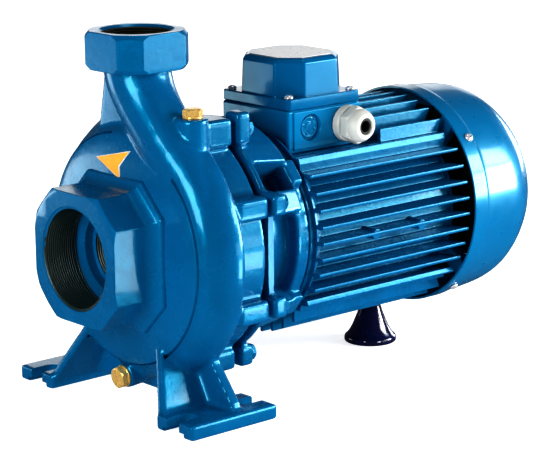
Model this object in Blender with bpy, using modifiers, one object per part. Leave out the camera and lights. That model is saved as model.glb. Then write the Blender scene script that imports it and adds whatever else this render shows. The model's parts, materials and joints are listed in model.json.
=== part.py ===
"""Centrifugal pump with its motor, as one close-coupled set.

Metres, +Z up. The floor is Z = 0, the shaft runs along X at SHAFT_Z, the suction port
faces -X and the delivery port faces +Z. The X stations below are counted from one point
on the shaft. Each finished piece then moves by MIDDLE_X, so that the origin is on the
floor under the middle of the overall length.
"""

import math

import bmesh
import bpy
from mathutils import Matrix, Vector

# Overall stations along the shaft
SHAFT_Z = 0.1365
SUCTION_FACE_X = -0.2288
COWL_REAR_X = 0.2430
MIDDLE_X = (SUCTION_FACE_X + COWL_REAR_X) / 2
CLEARANCE = 0.0003
WELD = 0.00002

# Pump casing
SUCTION_FLATS = 0.112
SUCTION_FLAT_HALF = 0.032
SUCTION_BOSS_REAR_X = -0.1860
SUCTION_THREAD_R = 0.044
SUCTION_THREAD_DEPTH = 0.030
SUCTION_RELIEF_R = 0.0455
SUCTION_RELIEF_DEPTH = 0.036
SUCTION_THROAT_R = 0.035
SUCTION_THROAT_DEPTH = 0.0455
SUCTION_EYE_R = 0.031
SUCTION_EYE_DEPTH = 0.085
DELIVERY_X = -0.1572
DELIVERY_TOP_Z = 0.3229
DELIVERY_BOSS_BOTTOM_Z = 0.2904
DELIVERY_FLATS = 0.0756
DELIVERY_FLAT_HALF = 0.0223
DELIVERY_THREAD_R = 0.0300
DELIVERY_BORE_R = 0.0210
CASING_REAR_X = -0.1070
CASING_SEAT_R = 0.0965
CASING_WALL_REAR_X = -0.1077
CASING_WALL_R = 0.105
CASING_LUG_X = -0.1410
CHAMBER_FRONT_X = -0.1447
CHAMBER_R = 0.0880
CASING_RIM_R = 0.1195
CASING_DOME_R = 0.0985

# Bolt lugs round the joint of casing and bracket, on one side: (y, z) of the block's
# middle from the shaft, then its half size in y and z
LUGS = (
    (0.1010, 0.0435, 0.0110, 0.0092),
    (0.1010, -0.0450, 0.0110, 0.0092),
    (0.0570, 0.1010, 0.0095, 0.0120),
    (0.0570, -0.0965, 0.0095, 0.0092),
)
LUG_BEVEL = 0.0025
BOLT_ACROSS_FLATS = 0.0130
BOLT_HEAD_H = 0.0053

# Feet of the casing
FOOT_X0 = -0.2036
FOOT_X1 = -0.1111
FOOT_Y0 = 0.0748
FOOT_Y1 = 0.1222
FOOT_T = 0.0130
FOOT_PAD_T = 0.0045
FOOT_SLOT_Y = 0.0970
FOOT_SLOT_W = 0.0160
FOOT_SLOT_L = 0.0240
CROSS_WEB_X0 = -0.1520
CROSS_WEB_X1 = -0.1420

# Plugs in the casing
VENT_X = -0.1500
VENT_Y = -0.0640
VENT_TOP_Z = SHAFT_Z + 0.1180
VENT_BOSS_R = 0.0130
VENT_ACROSS_FLATS = 0.0150
DRAIN_Z = 0.0248
DRAIN_BOSS_X = -0.1795
DRAIN_BOSS_R = 0.0110
DRAIN_ACROSS_FLATS = 0.0170
PLUG_HEAD_H = 0.0080

# Back cover and bracket
COVER_X0 = -0.1067
COVER_X1 = -0.1013
COVER_R = 0.0955
BRACKET_LUG_X = -0.1047
BRACKET_FRONT_X = -0.1010
BRACKET_FLANGE_X1 = -0.0940
BRACKET_LUG_X1 = -0.0885
BRACKET_FLANGE_R = 0.1065
BRACKET_RING_X = -0.0543
BRACKET_REAR_X = -0.0403
BRACKET_RING_R = 0.0860
CORNER_TURNS = (40, 140, 220, 320)

# Motor
FRAME_FRONT_X = -0.0400
FRAME_RING_X1 = -0.0345
FRAME_BARREL_R = 0.0800
FRAME_FIN_TIP_R = 0.0980
FRAME_FIN_PITCH = 0.0143
FRAME_FIN_T = 0.0038
FRAME_FIN_COUNT = 4
SIDE_FIN_DROP = 0.0030
FRAME_BAR_IN = 0.0605
FRAME_BAR_OUT = 0.0680
FRAME_BAR_CHAMFER = 0.0040
PLATE_BOSS_X = (0.0288, 0.0843)
FRAME_BARREL_REAR_X = 0.1337
FRAME_FIN_REAR_X = 0.1447
TOP_FIN_FRONT_X = 0.0690
SHIELD_REAR_X = 0.1620
COWL_FRONT_X = 0.1486
COWL_R = 0.1020
COWL_T = 0.0018
COWL_SCREW_X = 0.1600
COWL_SCREW_TURNS = (38, 128, 218, 308)
COWL_SLOTS = (
    (0.0200, 0.0430, 6, 20.0),
    (0.0490, 0.0710, 12, 11.0),
)
COWL_SLOT_PHASE = 1.9
FAN_X0 = 0.1740

# Terminal box
BOX_X0 = -0.0285
BOX_X1 = 0.0576
BOX_HALF_Y = 0.0445
BOX_BOTTOM_Z = SHAFT_Z + 0.0672
BOX_TOP_Z = 0.2421
LID_FLANGE_TOP_Z = 0.2521
LID_WALL_TOP_Z = 0.2815
LID_TOP_Z = 0.2852
LID_INSET = 0.0040
LID_CHAMFER = 0.0190
GLAND_X = 0.0385
GLAND_Z = 0.2242
GLAND_BORE_R = 0.0072
KNOCKOUT_X = -0.0026
KNOCKOUT_Z = 0.2252

# Rubber foot under the motor
RUBBER_X = 0.1121
RUBBER_BASE_R = 0.0245
RUBBER_TOP_R = 0.0095
RUBBER_TOP_Z = 0.0360


def clear_scene():
    for old in list(bpy.data.objects):
        bpy.data.objects.remove(old, do_unlink=True)


def new_collection(name):
    made = bpy.data.collections.new(name)
    bpy.context.scene.collection.children.link(made)
    return made


def new_material(name, colour, roughness, metallic=0.0):
    made = bpy.data.materials.new(name)
    made.use_nodes = True
    shader = made.node_tree.nodes["Principled BSDF"]
    shader.inputs["Base Color"].default_value = (*colour, 1.0)
    shader.inputs["Roughness"].default_value = roughness
    shader.inputs["Metallic"].default_value = metallic
    return made


clear_scene()
PARTS = new_collection("centrifugal_pump")
CUTTERS = new_collection("cutters")

CASTING_BLUE = new_material("casting_blue", (0.004, 0.095, 0.27), 0.28)
FRAME_BLUE = new_material("frame_blue", (0.004, 0.095, 0.27), 0.3)
COWL_BLUE = new_material("cowl_blue", (0.004, 0.10, 0.28), 0.22)
BOX_BLUE = new_material("box_blue", (0.004, 0.10, 0.28), 0.25)
DARK_STEEL = new_material("dark_steel", (0.02, 0.03, 0.03), 0.5, 0.6)
BRASS = new_material("brass", (0.80, 0.56, 0.22), 0.3, 1.0)
CHROME = new_material("chrome", (0.75, 0.76, 0.78), 0.2, 1.0)
ARROW_YELLOW = new_material("arrow_yellow", (0.85, 0.45, 0.02), 0.45)
GLAND_GREY = new_material("gland_grey", (0.72, 0.72, 0.68), 0.4)
SEAL_BLACK = new_material("seal_black", (0.01, 0.01, 0.01), 0.6)
RUBBER_BLACK = new_material("rubber_black", (0.008, 0.009, 0.012), 0.3)
LABEL_WHITE = new_material("label_white", (0.85, 0.86, 0.87), 0.5)


def keep(obj, name, material):
    """Names a finished piece, gives it its material and moves it over the origin."""
    obj.location.x -= MIDDLE_X
    obj.name = name
    obj.data.name = name
    obj.data.materials.clear()
    obj.data.materials.append(material)
    if obj.name not in PARTS.objects:
        PARTS.objects.link(obj)
    if obj.name in CUTTERS.objects:
        CUTTERS.objects.unlink(obj)
    obj.hide_render = False
    obj.display_type = "TEXTURED"
    return obj


def helper(mesh, name):
    """An object that only shapes another one."""
    obj = bpy.data.objects.new(name, mesh)
    CUTTERS.objects.link(obj)
    obj.hide_render = True
    obj.display_type = "WIRE"
    return obj


def shade_round(obj, degrees=35):
    obj.data.shade_smooth()
    obj.data.set_sharp_from_angle(angle=math.radians(degrees))


def box(name, low, high):
    bm = bmesh.new()
    bmesh.ops.create_cube(bm, size=1.0)
    size = Vector(high) - Vector(low)
    bmesh.ops.scale(bm, vec=size, verts=bm.verts)
    bmesh.ops.translate(bm, vec=Vector(low) + size / 2, verts=bm.verts)
    mesh = bpy.data.meshes.new(name)
    bm.to_mesh(mesh)
    bm.free()
    return helper(mesh, name)


def cone(name, r0, r1, start, end, segments=48):
    """A cylinder or cone from start (radius r0) to end (radius r1)."""
    start = Vector(start)
    along = Vector(end) - start
    bm = bmesh.new()
    bmesh.ops.create_cone(
        bm, cap_ends=True, segments=segments, radius1=r0, radius2=r1, depth=along.length
    )
    turn = along.to_track_quat("Z", "Y").to_matrix().to_4x4()
    bmesh.ops.transform(bm, matrix=Matrix.Translation(start + along / 2) @ turn, verts=bm.verts)
    mesh = bpy.data.meshes.new(name)
    bm.to_mesh(mesh)
    bm.free()
    return helper(mesh, name)


def turned_x(name, profile, steps):
    """A solid turned about the shaft. The profile lists (x, radius) from rear to front,
    down the outer side."""
    mesh = bpy.data.meshes.new(name)
    bm = bmesh.new()
    points = [bm.verts.new((radius, 0.0, x)) for x, radius in profile]
    for a, b in zip(points, points[1:]):
        bm.edges.new((a, b))
    bm.to_mesh(mesh)
    bm.free()
    obj = helper(mesh, name)
    obj.rotation_euler = (0.0, math.radians(90), 0.0)
    obj.location = (0.0, 0.0, SHAFT_Z)
    screw = obj.modifiers.new("turn", "SCREW")
    screw.steps = steps
    screw.render_steps = steps
    screw.use_merge_vertices = True
    screw.merge_threshold = 0.00005
    return obj


def flat_outline(name, outline, low, high, axis="X"):
    """A plate with the given outline, from low to high along the axis. The outline is
    (y, z) for X, (x, y) for Z and (x, z) for Y."""
    place = "XYZ".index(axis)
    bm = bmesh.new()
    caps = []
    for along in (low, high):
        points = [list(pair) for pair in outline]
        for point in points:
            point.insert(place, along)
        caps.append([bm.verts.new(point) for point in points])
    for cap in caps:
        bm.faces.new(cap)
    for k in range(len(outline)):
        bm.faces.new((caps[0][k - 1], caps[0][k], caps[1][k], caps[1][k - 1]))
    bmesh.ops.recalc_face_normals(bm, faces=bm.faces)
    mesh = bpy.data.meshes.new(name)
    bm.to_mesh(mesh)
    bm.free()
    return helper(mesh, name)


def curve_to_mesh(guide, name):
    bpy.context.view_layer.update()
    graph = bpy.context.evaluated_depsgraph_get()
    mesh = bpy.data.meshes.new_from_object(guide.evaluated_get(graph))
    bm = bmesh.new()
    bm.from_mesh(mesh)
    bmesh.ops.remove_doubles(bm, verts=bm.verts, dist=0.00001)
    bmesh.ops.recalc_face_normals(bm, faces=bm.faces)
    bm.to_mesh(mesh)
    bm.free()
    obj = helper(mesh, name)
    obj.matrix_world = guide.matrix_world
    bpy.data.objects.remove(guide, do_unlink=True)
    return obj


def swept_tube(name, stations, sides=3):
    """A round tube along ((x, y, z), radius) stations, closed at both ends."""
    curve = bpy.data.curves.new(name + "_curve", "CURVE")
    curve.dimensions = "3D"
    curve.bevel_depth = 1.0
    curve.bevel_resolution = sides
    curve.use_fill_caps = True
    spline = curve.splines.new("POLY")
    spline.points.add(len(stations) - 1)
    for point, (place, radius) in zip(spline.points, stations):
        point.co = (*place, 1.0)
        point.radius = radius
    guide = bpy.data.objects.new(name + "_guide", curve)
    CUTTERS.objects.link(guide)
    return curve_to_mesh(guide, name)


def skinned(name, corners):
    """The solid that wraps the given corners."""
    bm = bmesh.new()
    for corner in corners:
        bm.verts.new(corner)
    bmesh.ops.convex_hull(bm, input=bm.verts)
    bmesh.ops.recalc_face_normals(bm, faces=bm.faces)
    mesh = bpy.data.meshes.new(name)
    bm.to_mesh(mesh)
    bm.free()
    return helper(mesh, name)


def shape(target, other, operation):
    """Joins, cuts or trims target with other, and welds what the Boolean leaves."""
    step = target.modifiers.new(other.name, "BOOLEAN")
    step.operation = operation
    step.object = other
    return settle(target)


def add(target, other):
    return shape(target, other, "UNION")


def cut(target, other):
    return shape(target, other, "DIFFERENCE")


def trim(target, other):
    return shape(target, other, "INTERSECT")


def bevel(obj, width, segments=1, degrees=40):
    soften = obj.modifiers.new("bevel", "BEVEL")
    soften.width = width
    soften.segments = segments
    soften.limit_method = "ANGLE"
    soften.angle_limit = math.radians(degrees)
    return obj


def settle(obj):
    """Applies the modifiers, and welds points that lie within WELD of each other."""
    bpy.context.view_layer.update()
    graph = bpy.context.evaluated_depsgraph_get()
    mesh = bpy.data.meshes.new_from_object(obj.evaluated_get(graph))
    obj.modifiers.clear()
    bm = bmesh.new()
    bm.from_mesh(mesh)
    bmesh.ops.remove_doubles(bm, verts=bm.verts, dist=WELD)
    bmesh.ops.dissolve_degenerate(bm, edges=bm.edges, dist=WELD)
    bm.to_mesh(mesh)
    bm.free()
    obj.data = mesh
    return obj


def octagon(flats_half, flat_half):
    """Corners of a square with cut corners, counterclockwise."""
    a, b = flats_half, flat_half
    return [(a, -b), (a, b), (b, a), (-b, a), (-a, b), (-a, -b), (-b, -a), (b, -a)]


def lug_blocks(tag, x0, x1):
    """The eight bolt lugs between two planes."""
    blocks = []
    for place, (y, z, half_y, half_z) in enumerate(LUGS):
        for side in (-1, 1):
            low = (x0, side * y - half_y, SHAFT_Z + z - half_z)
            high = (x1, side * y + half_y, SHAFT_Z + z + half_z)
            blocks.append(bevel(box(f"{tag}_{place}_{side}", low, high), LUG_BEVEL))
    return blocks


# Casing

def suction_boss():
    outline = [(y, SHAFT_Z + z) for y, z in octagon(SUCTION_FLATS / 2, SUCTION_FLAT_HALF)]
    boss = flat_outline("suction_boss", outline, SUCTION_FACE_X, SUCTION_BOSS_REAR_X)
    corner = math.hypot(SUCTION_FLATS / 2, SUCTION_FLAT_HALF) + 0.001
    chamfer = turned_x(
        "suction_chamfer",
        [
            (SUCTION_BOSS_REAR_X + 0.01, 0.0),
            (SUCTION_BOSS_REAR_X + 0.01, corner),
            (SUCTION_FACE_X + 0.0035, corner),
            (SUCTION_FACE_X - 0.0005, corner - 0.0085),
            (SUCTION_FACE_X - 0.0005, 0.0),
        ],
        48,
    )
    return trim(boss, chamfer)


def delivery_boss():
    outline = [(DELIVERY_X + x, y) for x, y in octagon(DELIVERY_FLATS / 2, DELIVERY_FLAT_HALF)]
    boss = flat_outline(
        "delivery_boss", outline, DELIVERY_BOSS_BOTTOM_Z, DELIVERY_TOP_Z, "Z"
    )
    corner = math.hypot(DELIVERY_FLATS / 2, DELIVERY_FLAT_HALF) + 0.001
    top = cone(
        "delivery_chamfer_top",
        corner + 0.0370,
        corner - 0.0055,
        (DELIVERY_X, 0, DELIVERY_TOP_Z - 0.0400),
        (DELIVERY_X, 0, DELIVERY_TOP_Z + 0.0010),
    )
    bottom = cone(
        "delivery_chamfer_bottom",
        corner - 0.0055,
        corner + 0.0370,
        (DELIVERY_X, 0, DELIVERY_BOSS_BOTTOM_Z - 0.0010),
        (DELIVERY_X, 0, DELIVERY_BOSS_BOTTOM_Z + 0.0400),
    )
    trim(boss, top)
    return trim(boss, bottom)


def casing_body():
    """Dome, spiral rim and rear wall, as one turned shape."""
    profile = [
        (CASING_REAR_X, 0.0),
        (CASING_REAR_X, CASING_SEAT_R),
        (CASING_WALL_REAR_X, CASING_SEAT_R),
        (CASING_WALL_REAR_X, CASING_WALL_R),
        (-0.1380, CASING_WALL_R),
        (-0.1400, 0.1130),
        (-0.1430, 0.1180),
        (-0.1465, CASING_RIM_R),
        (-0.1510, 0.1183),
        (-0.1565, 0.1147),
        (-0.1630, 0.1097),
        (-0.1690, 0.1047),
        (-0.1740, 0.1014),
        (-0.1768, 0.1001),
        (-0.1780, CASING_DOME_R),
        (-0.1797, 0.0925),
        (-0.1812, 0.0840),
        (-0.1837, 0.0650),
        (-0.1850, 0.0600),
        (-0.1880, 0.0570),
        (-0.1940, 0.0540),
        (-0.1940, 0.0),
    ]
    return turned_x("casing_body", profile, 64)


def neck_path():
    """Stations of the delivery neck: down from the port, out to the near side and into
    the spiral."""
    return [
        ((DELIVERY_X, 0.0000, DELIVERY_BOSS_BOTTOM_Z + 0.0060), 0.0290),
        ((DELIVERY_X, -0.0010, 0.2860), 0.0285),
        ((DELIVERY_X, -0.0045, 0.2760), 0.0278),
        ((DELIVERY_X, -0.0105, 0.2655), 0.0270),
        ((DELIVERY_X, -0.0190, 0.2545), 0.0265),
        ((DELIVERY_X, -0.0295, 0.2430), 0.0262),
        ((DELIVERY_X, -0.0400, 0.2310), 0.0262),
        ((DELIVERY_X, -0.0500, 0.2180), 0.0262),
        ((DELIVERY_X, -0.0590, 0.2020), 0.0260),
        ((DELIVERY_X + 0.001, -0.0670, 0.1820), 0.0255),
        ((DELIVERY_X + 0.002, -0.0720, 0.1580), 0.0245),
        ((DELIVERY_X + 0.004, -0.0740, 0.1320), 0.0220),
    ]


def delivery_passage():
    path = [
        ((DELIVERY_X, 0.0, DELIVERY_TOP_Z + 0.002), DELIVERY_BORE_R),
        ((DELIVERY_X, 0.0, DELIVERY_BOSS_BOTTOM_Z + 0.004), DELIVERY_BORE_R),
    ]
    for place, _ in neck_path()[1:9]:
        path.append((place, DELIVERY_BORE_R - 0.001))
    return swept_tube("delivery_passage", path)


def neck_web():
    """The stiffening web between the delivery boss and the far shoulder of the casing."""
    outline = [
        (-0.010, 0.2915),
        (0.0310, 0.2915),
        (0.0330, 0.2800),
        (0.0430, 0.2300),
        (0.0480, 0.2100),
        (-0.0350, 0.2100),
    ]
    return flat_outline("neck_web", outline, -0.1690, -0.1500)


def suction_bore():
    face = SUCTION_FACE_X
    profile = [
        (face + SUCTION_EYE_DEPTH, 0.0),
        (face + SUCTION_EYE_DEPTH, SUCTION_EYE_R),
        (face + SUCTION_THROAT_DEPTH, SUCTION_EYE_R),
        (face + SUCTION_THROAT_DEPTH, SUCTION_THROAT_R),
        (face + SUCTION_RELIEF_DEPTH, SUCTION_THROAT_R),
        (face + SUCTION_RELIEF_DEPTH, SUCTION_RELIEF_R),
        (face + SUCTION_THREAD_DEPTH, SUCTION_RELIEF_R),
        (face + SUCTION_THREAD_DEPTH, SUCTION_THREAD_R),
        (face - 0.002, SUCTION_THREAD_R),
        (face - 0.002, 0.0),
    ]
    return turned_x("suction_bore", profile, 40)


def chamber_bore():
    """The space behind the eye that holds the impeller, open to the rear."""
    profile = [
        (CASING_REAR_X + 0.002, 0.0),
        (CASING_REAR_X + 0.002, CHAMBER_R),
        (CHAMBER_FRONT_X, CHAMBER_R),
        (CHAMBER_FRONT_X, 0.0),
    ]
    return turned_x("chamber_bore", profile, 48)


def foot_slot(side, tag, end_x, inward):
    """Cutter for one slot, open at end_x and round at the inner end."""
    half = FOOT_SLOT_W / 2
    centre_x = end_x + inward * (FOOT_SLOT_L - half)
    mouth_x = end_x - inward * 0.002
    corners = []
    for z in (-0.002, FOOT_T + 0.002):
        corners.append((mouth_x, side * FOOT_SLOT_Y - half, z))
        corners.append((mouth_x, side * FOOT_SLOT_Y + half, z))
        for step in range(7):
            turn = math.radians(-90 + 30 * step)
            x = centre_x + inward * half * math.cos(turn)
            corners.append((x, side * FOOT_SLOT_Y + half * math.sin(turn), z))
    return skinned(f"{tag}_slot", corners)


def build_foot(side):
    """One foot: a plate with two open slots, a shallow channel under them that leaves
    a machined pad each side, and the slanted web that rises to the casing."""
    tag = "near" if side < 0 else "far"
    y0, y1 = sorted((side * FOOT_Y0, side * FOOT_Y1))
    foot = box(f"{tag}_foot", (FOOT_X0, y0, 0.0), (FOOT_X1, y1, FOOT_T))
    channel = FOOT_SLOT_W / 2 + 0.0060
    y0, y1 = sorted((side * FOOT_SLOT_Y - channel, side * FOOT_SLOT_Y + channel))
    cut(foot, box(f"{tag}_channel", (FOOT_X0 - 0.002, y0, -0.002), (FOOT_X1 + 0.002, y1, FOOT_PAD_T)))
    cut(foot, foot_slot(side, tag + "_front", FOOT_X0, 1))
    cut(foot, foot_slot(side, tag + "_rear", FOOT_X1, -1))
    web = skinned(
        f"{tag}_long_web",
        [
            (FOOT_X0 + 0.0006, side * (FOOT_Y0 + 0.0006), 0.0060),
            (FOOT_X0 + 0.0006, side * (FOOT_Y0 + 0.0090), 0.0060),
            (-0.1490, side * (FOOT_Y0 + 0.0006), 0.0060),
            (-0.1490, side * (FOOT_Y0 + 0.0090), 0.0060),
            (-0.1800, side * 0.0440, 0.0620),
            (-0.1800, side * 0.0530, 0.0620),
            (-0.1490, side * 0.0440, 0.0620),
            (-0.1490, side * 0.0530, 0.0620),
        ],
    )
    return add(foot, web)


def cross_web():
    """The web across the casing's underside, which ties the two feet together."""
    outline = [
        (-0.1120, 0.0070),
        (-0.0700, 0.0070),
        (-0.0250, 0.0095),
        (0.0250, 0.0095),
        (0.0700, 0.0070),
        (0.1120, 0.0070),
        (0.1110, 0.0180),
        (0.0870, 0.0470),
        (0.0700, 0.0790),
        (-0.0700, 0.0790),
        (-0.0870, 0.0470),
        (-0.1110, 0.0180),
    ]
    return flat_outline("cross_web", outline, CROSS_WEB_X0, CROSS_WEB_X1)


def vent_boss():
    low = (VENT_X, VENT_Y, SHAFT_Z + 0.080)
    return cone("vent_boss", VENT_BOSS_R, VENT_BOSS_R, low, (VENT_X, VENT_Y, VENT_TOP_Z), 24)


def drain_boss():
    front = (DRAIN_BOSS_X, 0, DRAIN_Z)
    return cone("drain_boss", DRAIN_BOSS_R, DRAIN_BOSS_R, front, (-0.1430, 0, DRAIN_Z + 0.003), 24)


def delivery_port():
    """Cutter for the threaded port: countersink, thread and a flat bottom."""
    profile = [
        (DELIVERY_TOP_Z + 0.0010, 0.0),
        (DELIVERY_TOP_Z + 0.0010, DELIVERY_THREAD_R + 0.0035),
        (DELIVERY_TOP_Z - 0.0025, DELIVERY_THREAD_R),
        (DELIVERY_TOP_Z - 0.0260, DELIVERY_THREAD_R),
        (DELIVERY_TOP_Z - 0.0260, 0.0),
    ]
    port = turned_x("delivery_port", profile, 48)
    port.rotation_euler = (0.0, 0.0, 0.0)
    port.location = (DELIVERY_X, 0.0, 0.0)
    return port


def build_casing():
    casing = casing_body()
    solids = [suction_boss(), swept_tube("neck", neck_path(), 6), neck_web(), delivery_boss()]
    solids += [vent_boss(), drain_boss()]
    solids += lug_blocks("casing_lug", CASING_LUG_X, CASING_REAR_X)
    solids += [cross_web(), build_foot(-1), build_foot(1)]
    for solid in solids:
        add(casing, solid)
    for cutter in (suction_bore(), chamber_bore(), delivery_passage(), delivery_port()):
        cut(casing, cutter)
    keep(casing, "pump_casing", CASTING_BLUE)
    shade_round(casing)


def hex_head(name, across, height, base, direction, material, hole=None):
    """A hexagon head standing on base, with a chamfered end."""
    radius = across / math.sqrt(3)
    base = Vector(base)
    direction = Vector(direction).normalized()
    head = cone(name + "_hex", radius, radius, base, base + direction * height, 6)
    round_end = cone(
        name + "_round",
        radius + 0.6 * height * 1.7 + 0.0002,
        radius - 0.0012,
        base - direction * height * 0.6,
        base + direction * height * 1.02,
        24,
    )
    trim(head, round_end)
    if hole:
        cut(head, hole)
    return keep(head, name, material)


def build_plugs():
    hex_head(
        "vent_plug",
        VENT_ACROSS_FLATS,
        PLUG_HEAD_H,
        (VENT_X, VENT_Y, VENT_TOP_Z + CLEARANCE),
        (0, 0, 1),
        BRASS,
    )
    hex_head(
        "drain_plug",
        DRAIN_ACROSS_FLATS,
        PLUG_HEAD_H,
        (DRAIN_BOSS_X - CLEARANCE, 0, DRAIN_Z),
        (-1, 0, -0.083),
        BRASS,
    )


def dome_point(y, z, lift):
    """A point on the casing's dome at (y, z) from the shaft, raised by lift."""
    radius = math.hypot(y, z)
    slope = [
        (0.0600, -0.1850),
        (0.0650, -0.1837),
        (0.0740, -0.18252),
        (0.0840, -0.1812),
        (0.0925, -0.1797),
        (CASING_DOME_R, -0.1780),
    ]
    x = slope[-1][1]
    for (r0, x0), (r1, x1) in zip(slope, slope[1:]):
        if r0 <= radius <= r1:
            x = x0 + (x1 - x0) * (radius - r0) / (r1 - r0)
            break
    return (x - lift, y, SHAFT_Z + z)


def build_arrow():
    """The flow arrow: a plain arrowhead, laid 0.3 mm off the dome and 1.2 mm thick."""
    tip = (0.0262, 0.0772)
    top = (-0.0176, 0.0875)
    notch = (-0.0050, 0.0740)
    bottom = (-0.0075, 0.0640)
    corners = [tip, bottom, notch, top]
    rows = 6
    bm = bmesh.new()
    grids = []
    for lift in (CLEARANCE + 0.0004, CLEARANCE + 0.0020):
        grid = []
        for step in range(rows + 1):
            share = step / rows
            edge_a = Vector(corners[0]).lerp(Vector(corners[1]), share)
            edge_b = Vector(corners[0]).lerp(Vector(corners[3]), share)
            middle = Vector(corners[0]).lerp(Vector(corners[2]), share)
            if step == 0:
                grid.append([bm.verts.new(dome_point(*corners[0], lift))])
            else:
                grid.append([bm.verts.new(dome_point(*p, lift)) for p in (edge_a, middle, edge_b)])
        grids.append(grid)
    for grid, flip in zip(grids, (True, False)):
        for upper, lower in zip(grid, grid[1:]):
            for k in range(2):
                if len(upper) == 1:
                    face = [upper[0], lower[k], lower[k + 1]]
                else:
                    face = [upper[k], lower[k], lower[k + 1], upper[k + 1]]
                bm.faces.new(reversed(face) if flip else face)
    rims = []
    for grid in grids:
        rim = [grid[0][0]] + [row[0] for row in grid[1:]]
        rim += [grid[-1][1]] + [row[2] for row in reversed(grid[1:])]
        rims.append(rim)
    count = len(rims[0])
    for k in range(count):
        nxt = (k + 1) % count
        bm.faces.new([rims[0][k], rims[0][nxt], rims[1][nxt], rims[1][k]])
    bmesh.ops.triangulate(bm, faces=bm.faces)
    bmesh.ops.recalc_face_normals(bm, faces=bm.faces)
    mesh = bpy.data.meshes.new("flow_arrow")
    bm.to_mesh(mesh)
    bm.free()
    keep(helper(mesh, "flow_arrow"), "flow_arrow", ARROW_YELLOW)


# Impeller, back cover and bracket

def build_impeller():
    """Shrouded impeller, seen as a dark ring and hub through the suction eye."""
    profile = [
        (-0.1100, 0.0),
        (-0.1100, 0.0800),
        (-0.1250, 0.0800),
        (-0.1270, 0.0550),
        (-0.1330, 0.0360),
        (-0.1430, 0.0300),
        (-0.1432, 0.0262),
        (-0.1300, 0.0262),
        (-0.1290, 0.0120),
        (-0.1390, 0.0100),
        (-0.1400, 0.0),
    ]
    impeller = turned_x("impeller", profile, 36)
    keep(impeller, "impeller", DARK_STEEL)
    shade_round(impeller)


def build_cover():
    profile = [
        (COVER_X1, 0.0),
        (COVER_X1, COVER_R),
        (COVER_X0, COVER_R),
        (COVER_X0, 0.0875),
        (-0.1097, 0.0872),
        (-0.1097, 0.0),
    ]
    cover = turned_x("back_cover", profile, 48)
    keep(cover, "back_cover", DARK_STEEL)
    shade_round(cover)


def sector(tag, x0, r0_in, r0_out, x1, r1_in, r1_out, centre, half, steps=3):
    """A slice of a tapered ring about the shaft, from x0 to x1, between two angles in
    degrees (0 is the near side, 90 is up)."""
    bm = bmesh.new()
    rows = []
    for step in range(steps + 1):
        turn = math.radians(centre - half + 2 * half * step / steps)
        row = []
        for x, radius in ((x0, r0_in), (x0, r0_out), (x1, r1_out), (x1, r1_in)):
            place = (x, -radius * math.cos(turn), SHAFT_Z + radius * math.sin(turn))
            row.append(bm.verts.new(place))
        rows.append(row)
    for row, after in zip(rows, rows[1:]):
        for k in range(4):
            bm.faces.new([row[k], row[(k + 1) % 4], after[(k + 1) % 4], after[k]])
    bm.faces.new(rows[0])
    bm.faces.new(reversed(rows[-1]))
    bmesh.ops.triangulate(bm, faces=bm.faces)
    bmesh.ops.recalc_face_normals(bm, faces=bm.faces)
    mesh = bpy.data.meshes.new(tag)
    bm.to_mesh(mesh)
    bm.free()
    return helper(mesh, tag)


def corner_block(tag, x0, x1, radius, half, turn):
    """A block that stands out radially, at turn degrees."""
    block = box(tag, (x0, -half, 0.050), (x1, half, radius))
    bevel(block, 0.0025)
    settle(block)
    spin = Matrix.Rotation(math.radians(turn - 90), 4, "X")
    block.matrix_world = Matrix.Translation((0, 0, SHAFT_Z)) @ spin
    return block


def build_bracket():
    profile = [
        (BRACKET_REAR_X, 0.0),
        (BRACKET_REAR_X, BRACKET_RING_R - 0.0015),
        (BRACKET_REAR_X - 0.0015, BRACKET_RING_R),
        (BRACKET_RING_X, BRACKET_RING_R),
        (BRACKET_RING_X, 0.0720),
        (BRACKET_FLANGE_X1, 0.0780),
        (BRACKET_FLANGE_X1, BRACKET_FLANGE_R),
        (BRACKET_FRONT_X, BRACKET_FLANGE_R),
        (BRACKET_FRONT_X, 0.0),
    ]
    bracket = turned_x("motor_bracket", profile, 64)
    arms = []
    x0, x1 = BRACKET_FLANGE_X1 - 0.002, BRACKET_RING_X + 0.002
    for side in (0, 1):
        for tag, centre, half in (("side", 27, 9), ("low", -41, 8)):
            turn = centre if side == 0 else 180 - centre
            arms.append(
                sector(f"arm_{tag}_{side}", x0, 0.066, 0.1000, x1, 0.066, 0.0950, turn, half)
            )
    arms.append(sector("arm_roof", x0, 0.066, 0.1062, x1, 0.066, 0.0985, 90, 45, 10))
    for place, turn in enumerate(CORNER_TURNS):
        tag = f"bracket_corner_{place}"
        arms.append(corner_block(tag, BRACKET_RING_X, BRACKET_REAR_X, 0.0940, 0.0120, turn))
    arms += lug_blocks("bracket_lug", BRACKET_LUG_X, BRACKET_LUG_X1)
    for arm in arms:
        add(bracket, arm)
    keep(bracket, "motor_bracket", CASTING_BLUE)
    shade_round(bracket)


def build_bracket_bolts():
    """One hexagon bolt in each lug, its head behind the bracket."""
    number = 1
    for y, z, _, _ in LUGS:
        for side in (-1, 1):
            hex_head(
                f"bracket_bolt_{number}",
                BOLT_ACROSS_FLATS,
                BOLT_HEAD_H,
                (BRACKET_LUG_X1 + CLEARANCE, side * y, SHAFT_Z + z),
                (1, 0, 0),
                CASTING_BLUE,
            )
            number += 1


# Motor

def barrel_depth(v):
    """How far out a fin's root lies at the offset v: on the barrel, or on the corner bar."""
    return max(math.sqrt(FRAME_BARREL_R**2 - v * v), FRAME_BAR_IN)


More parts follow.
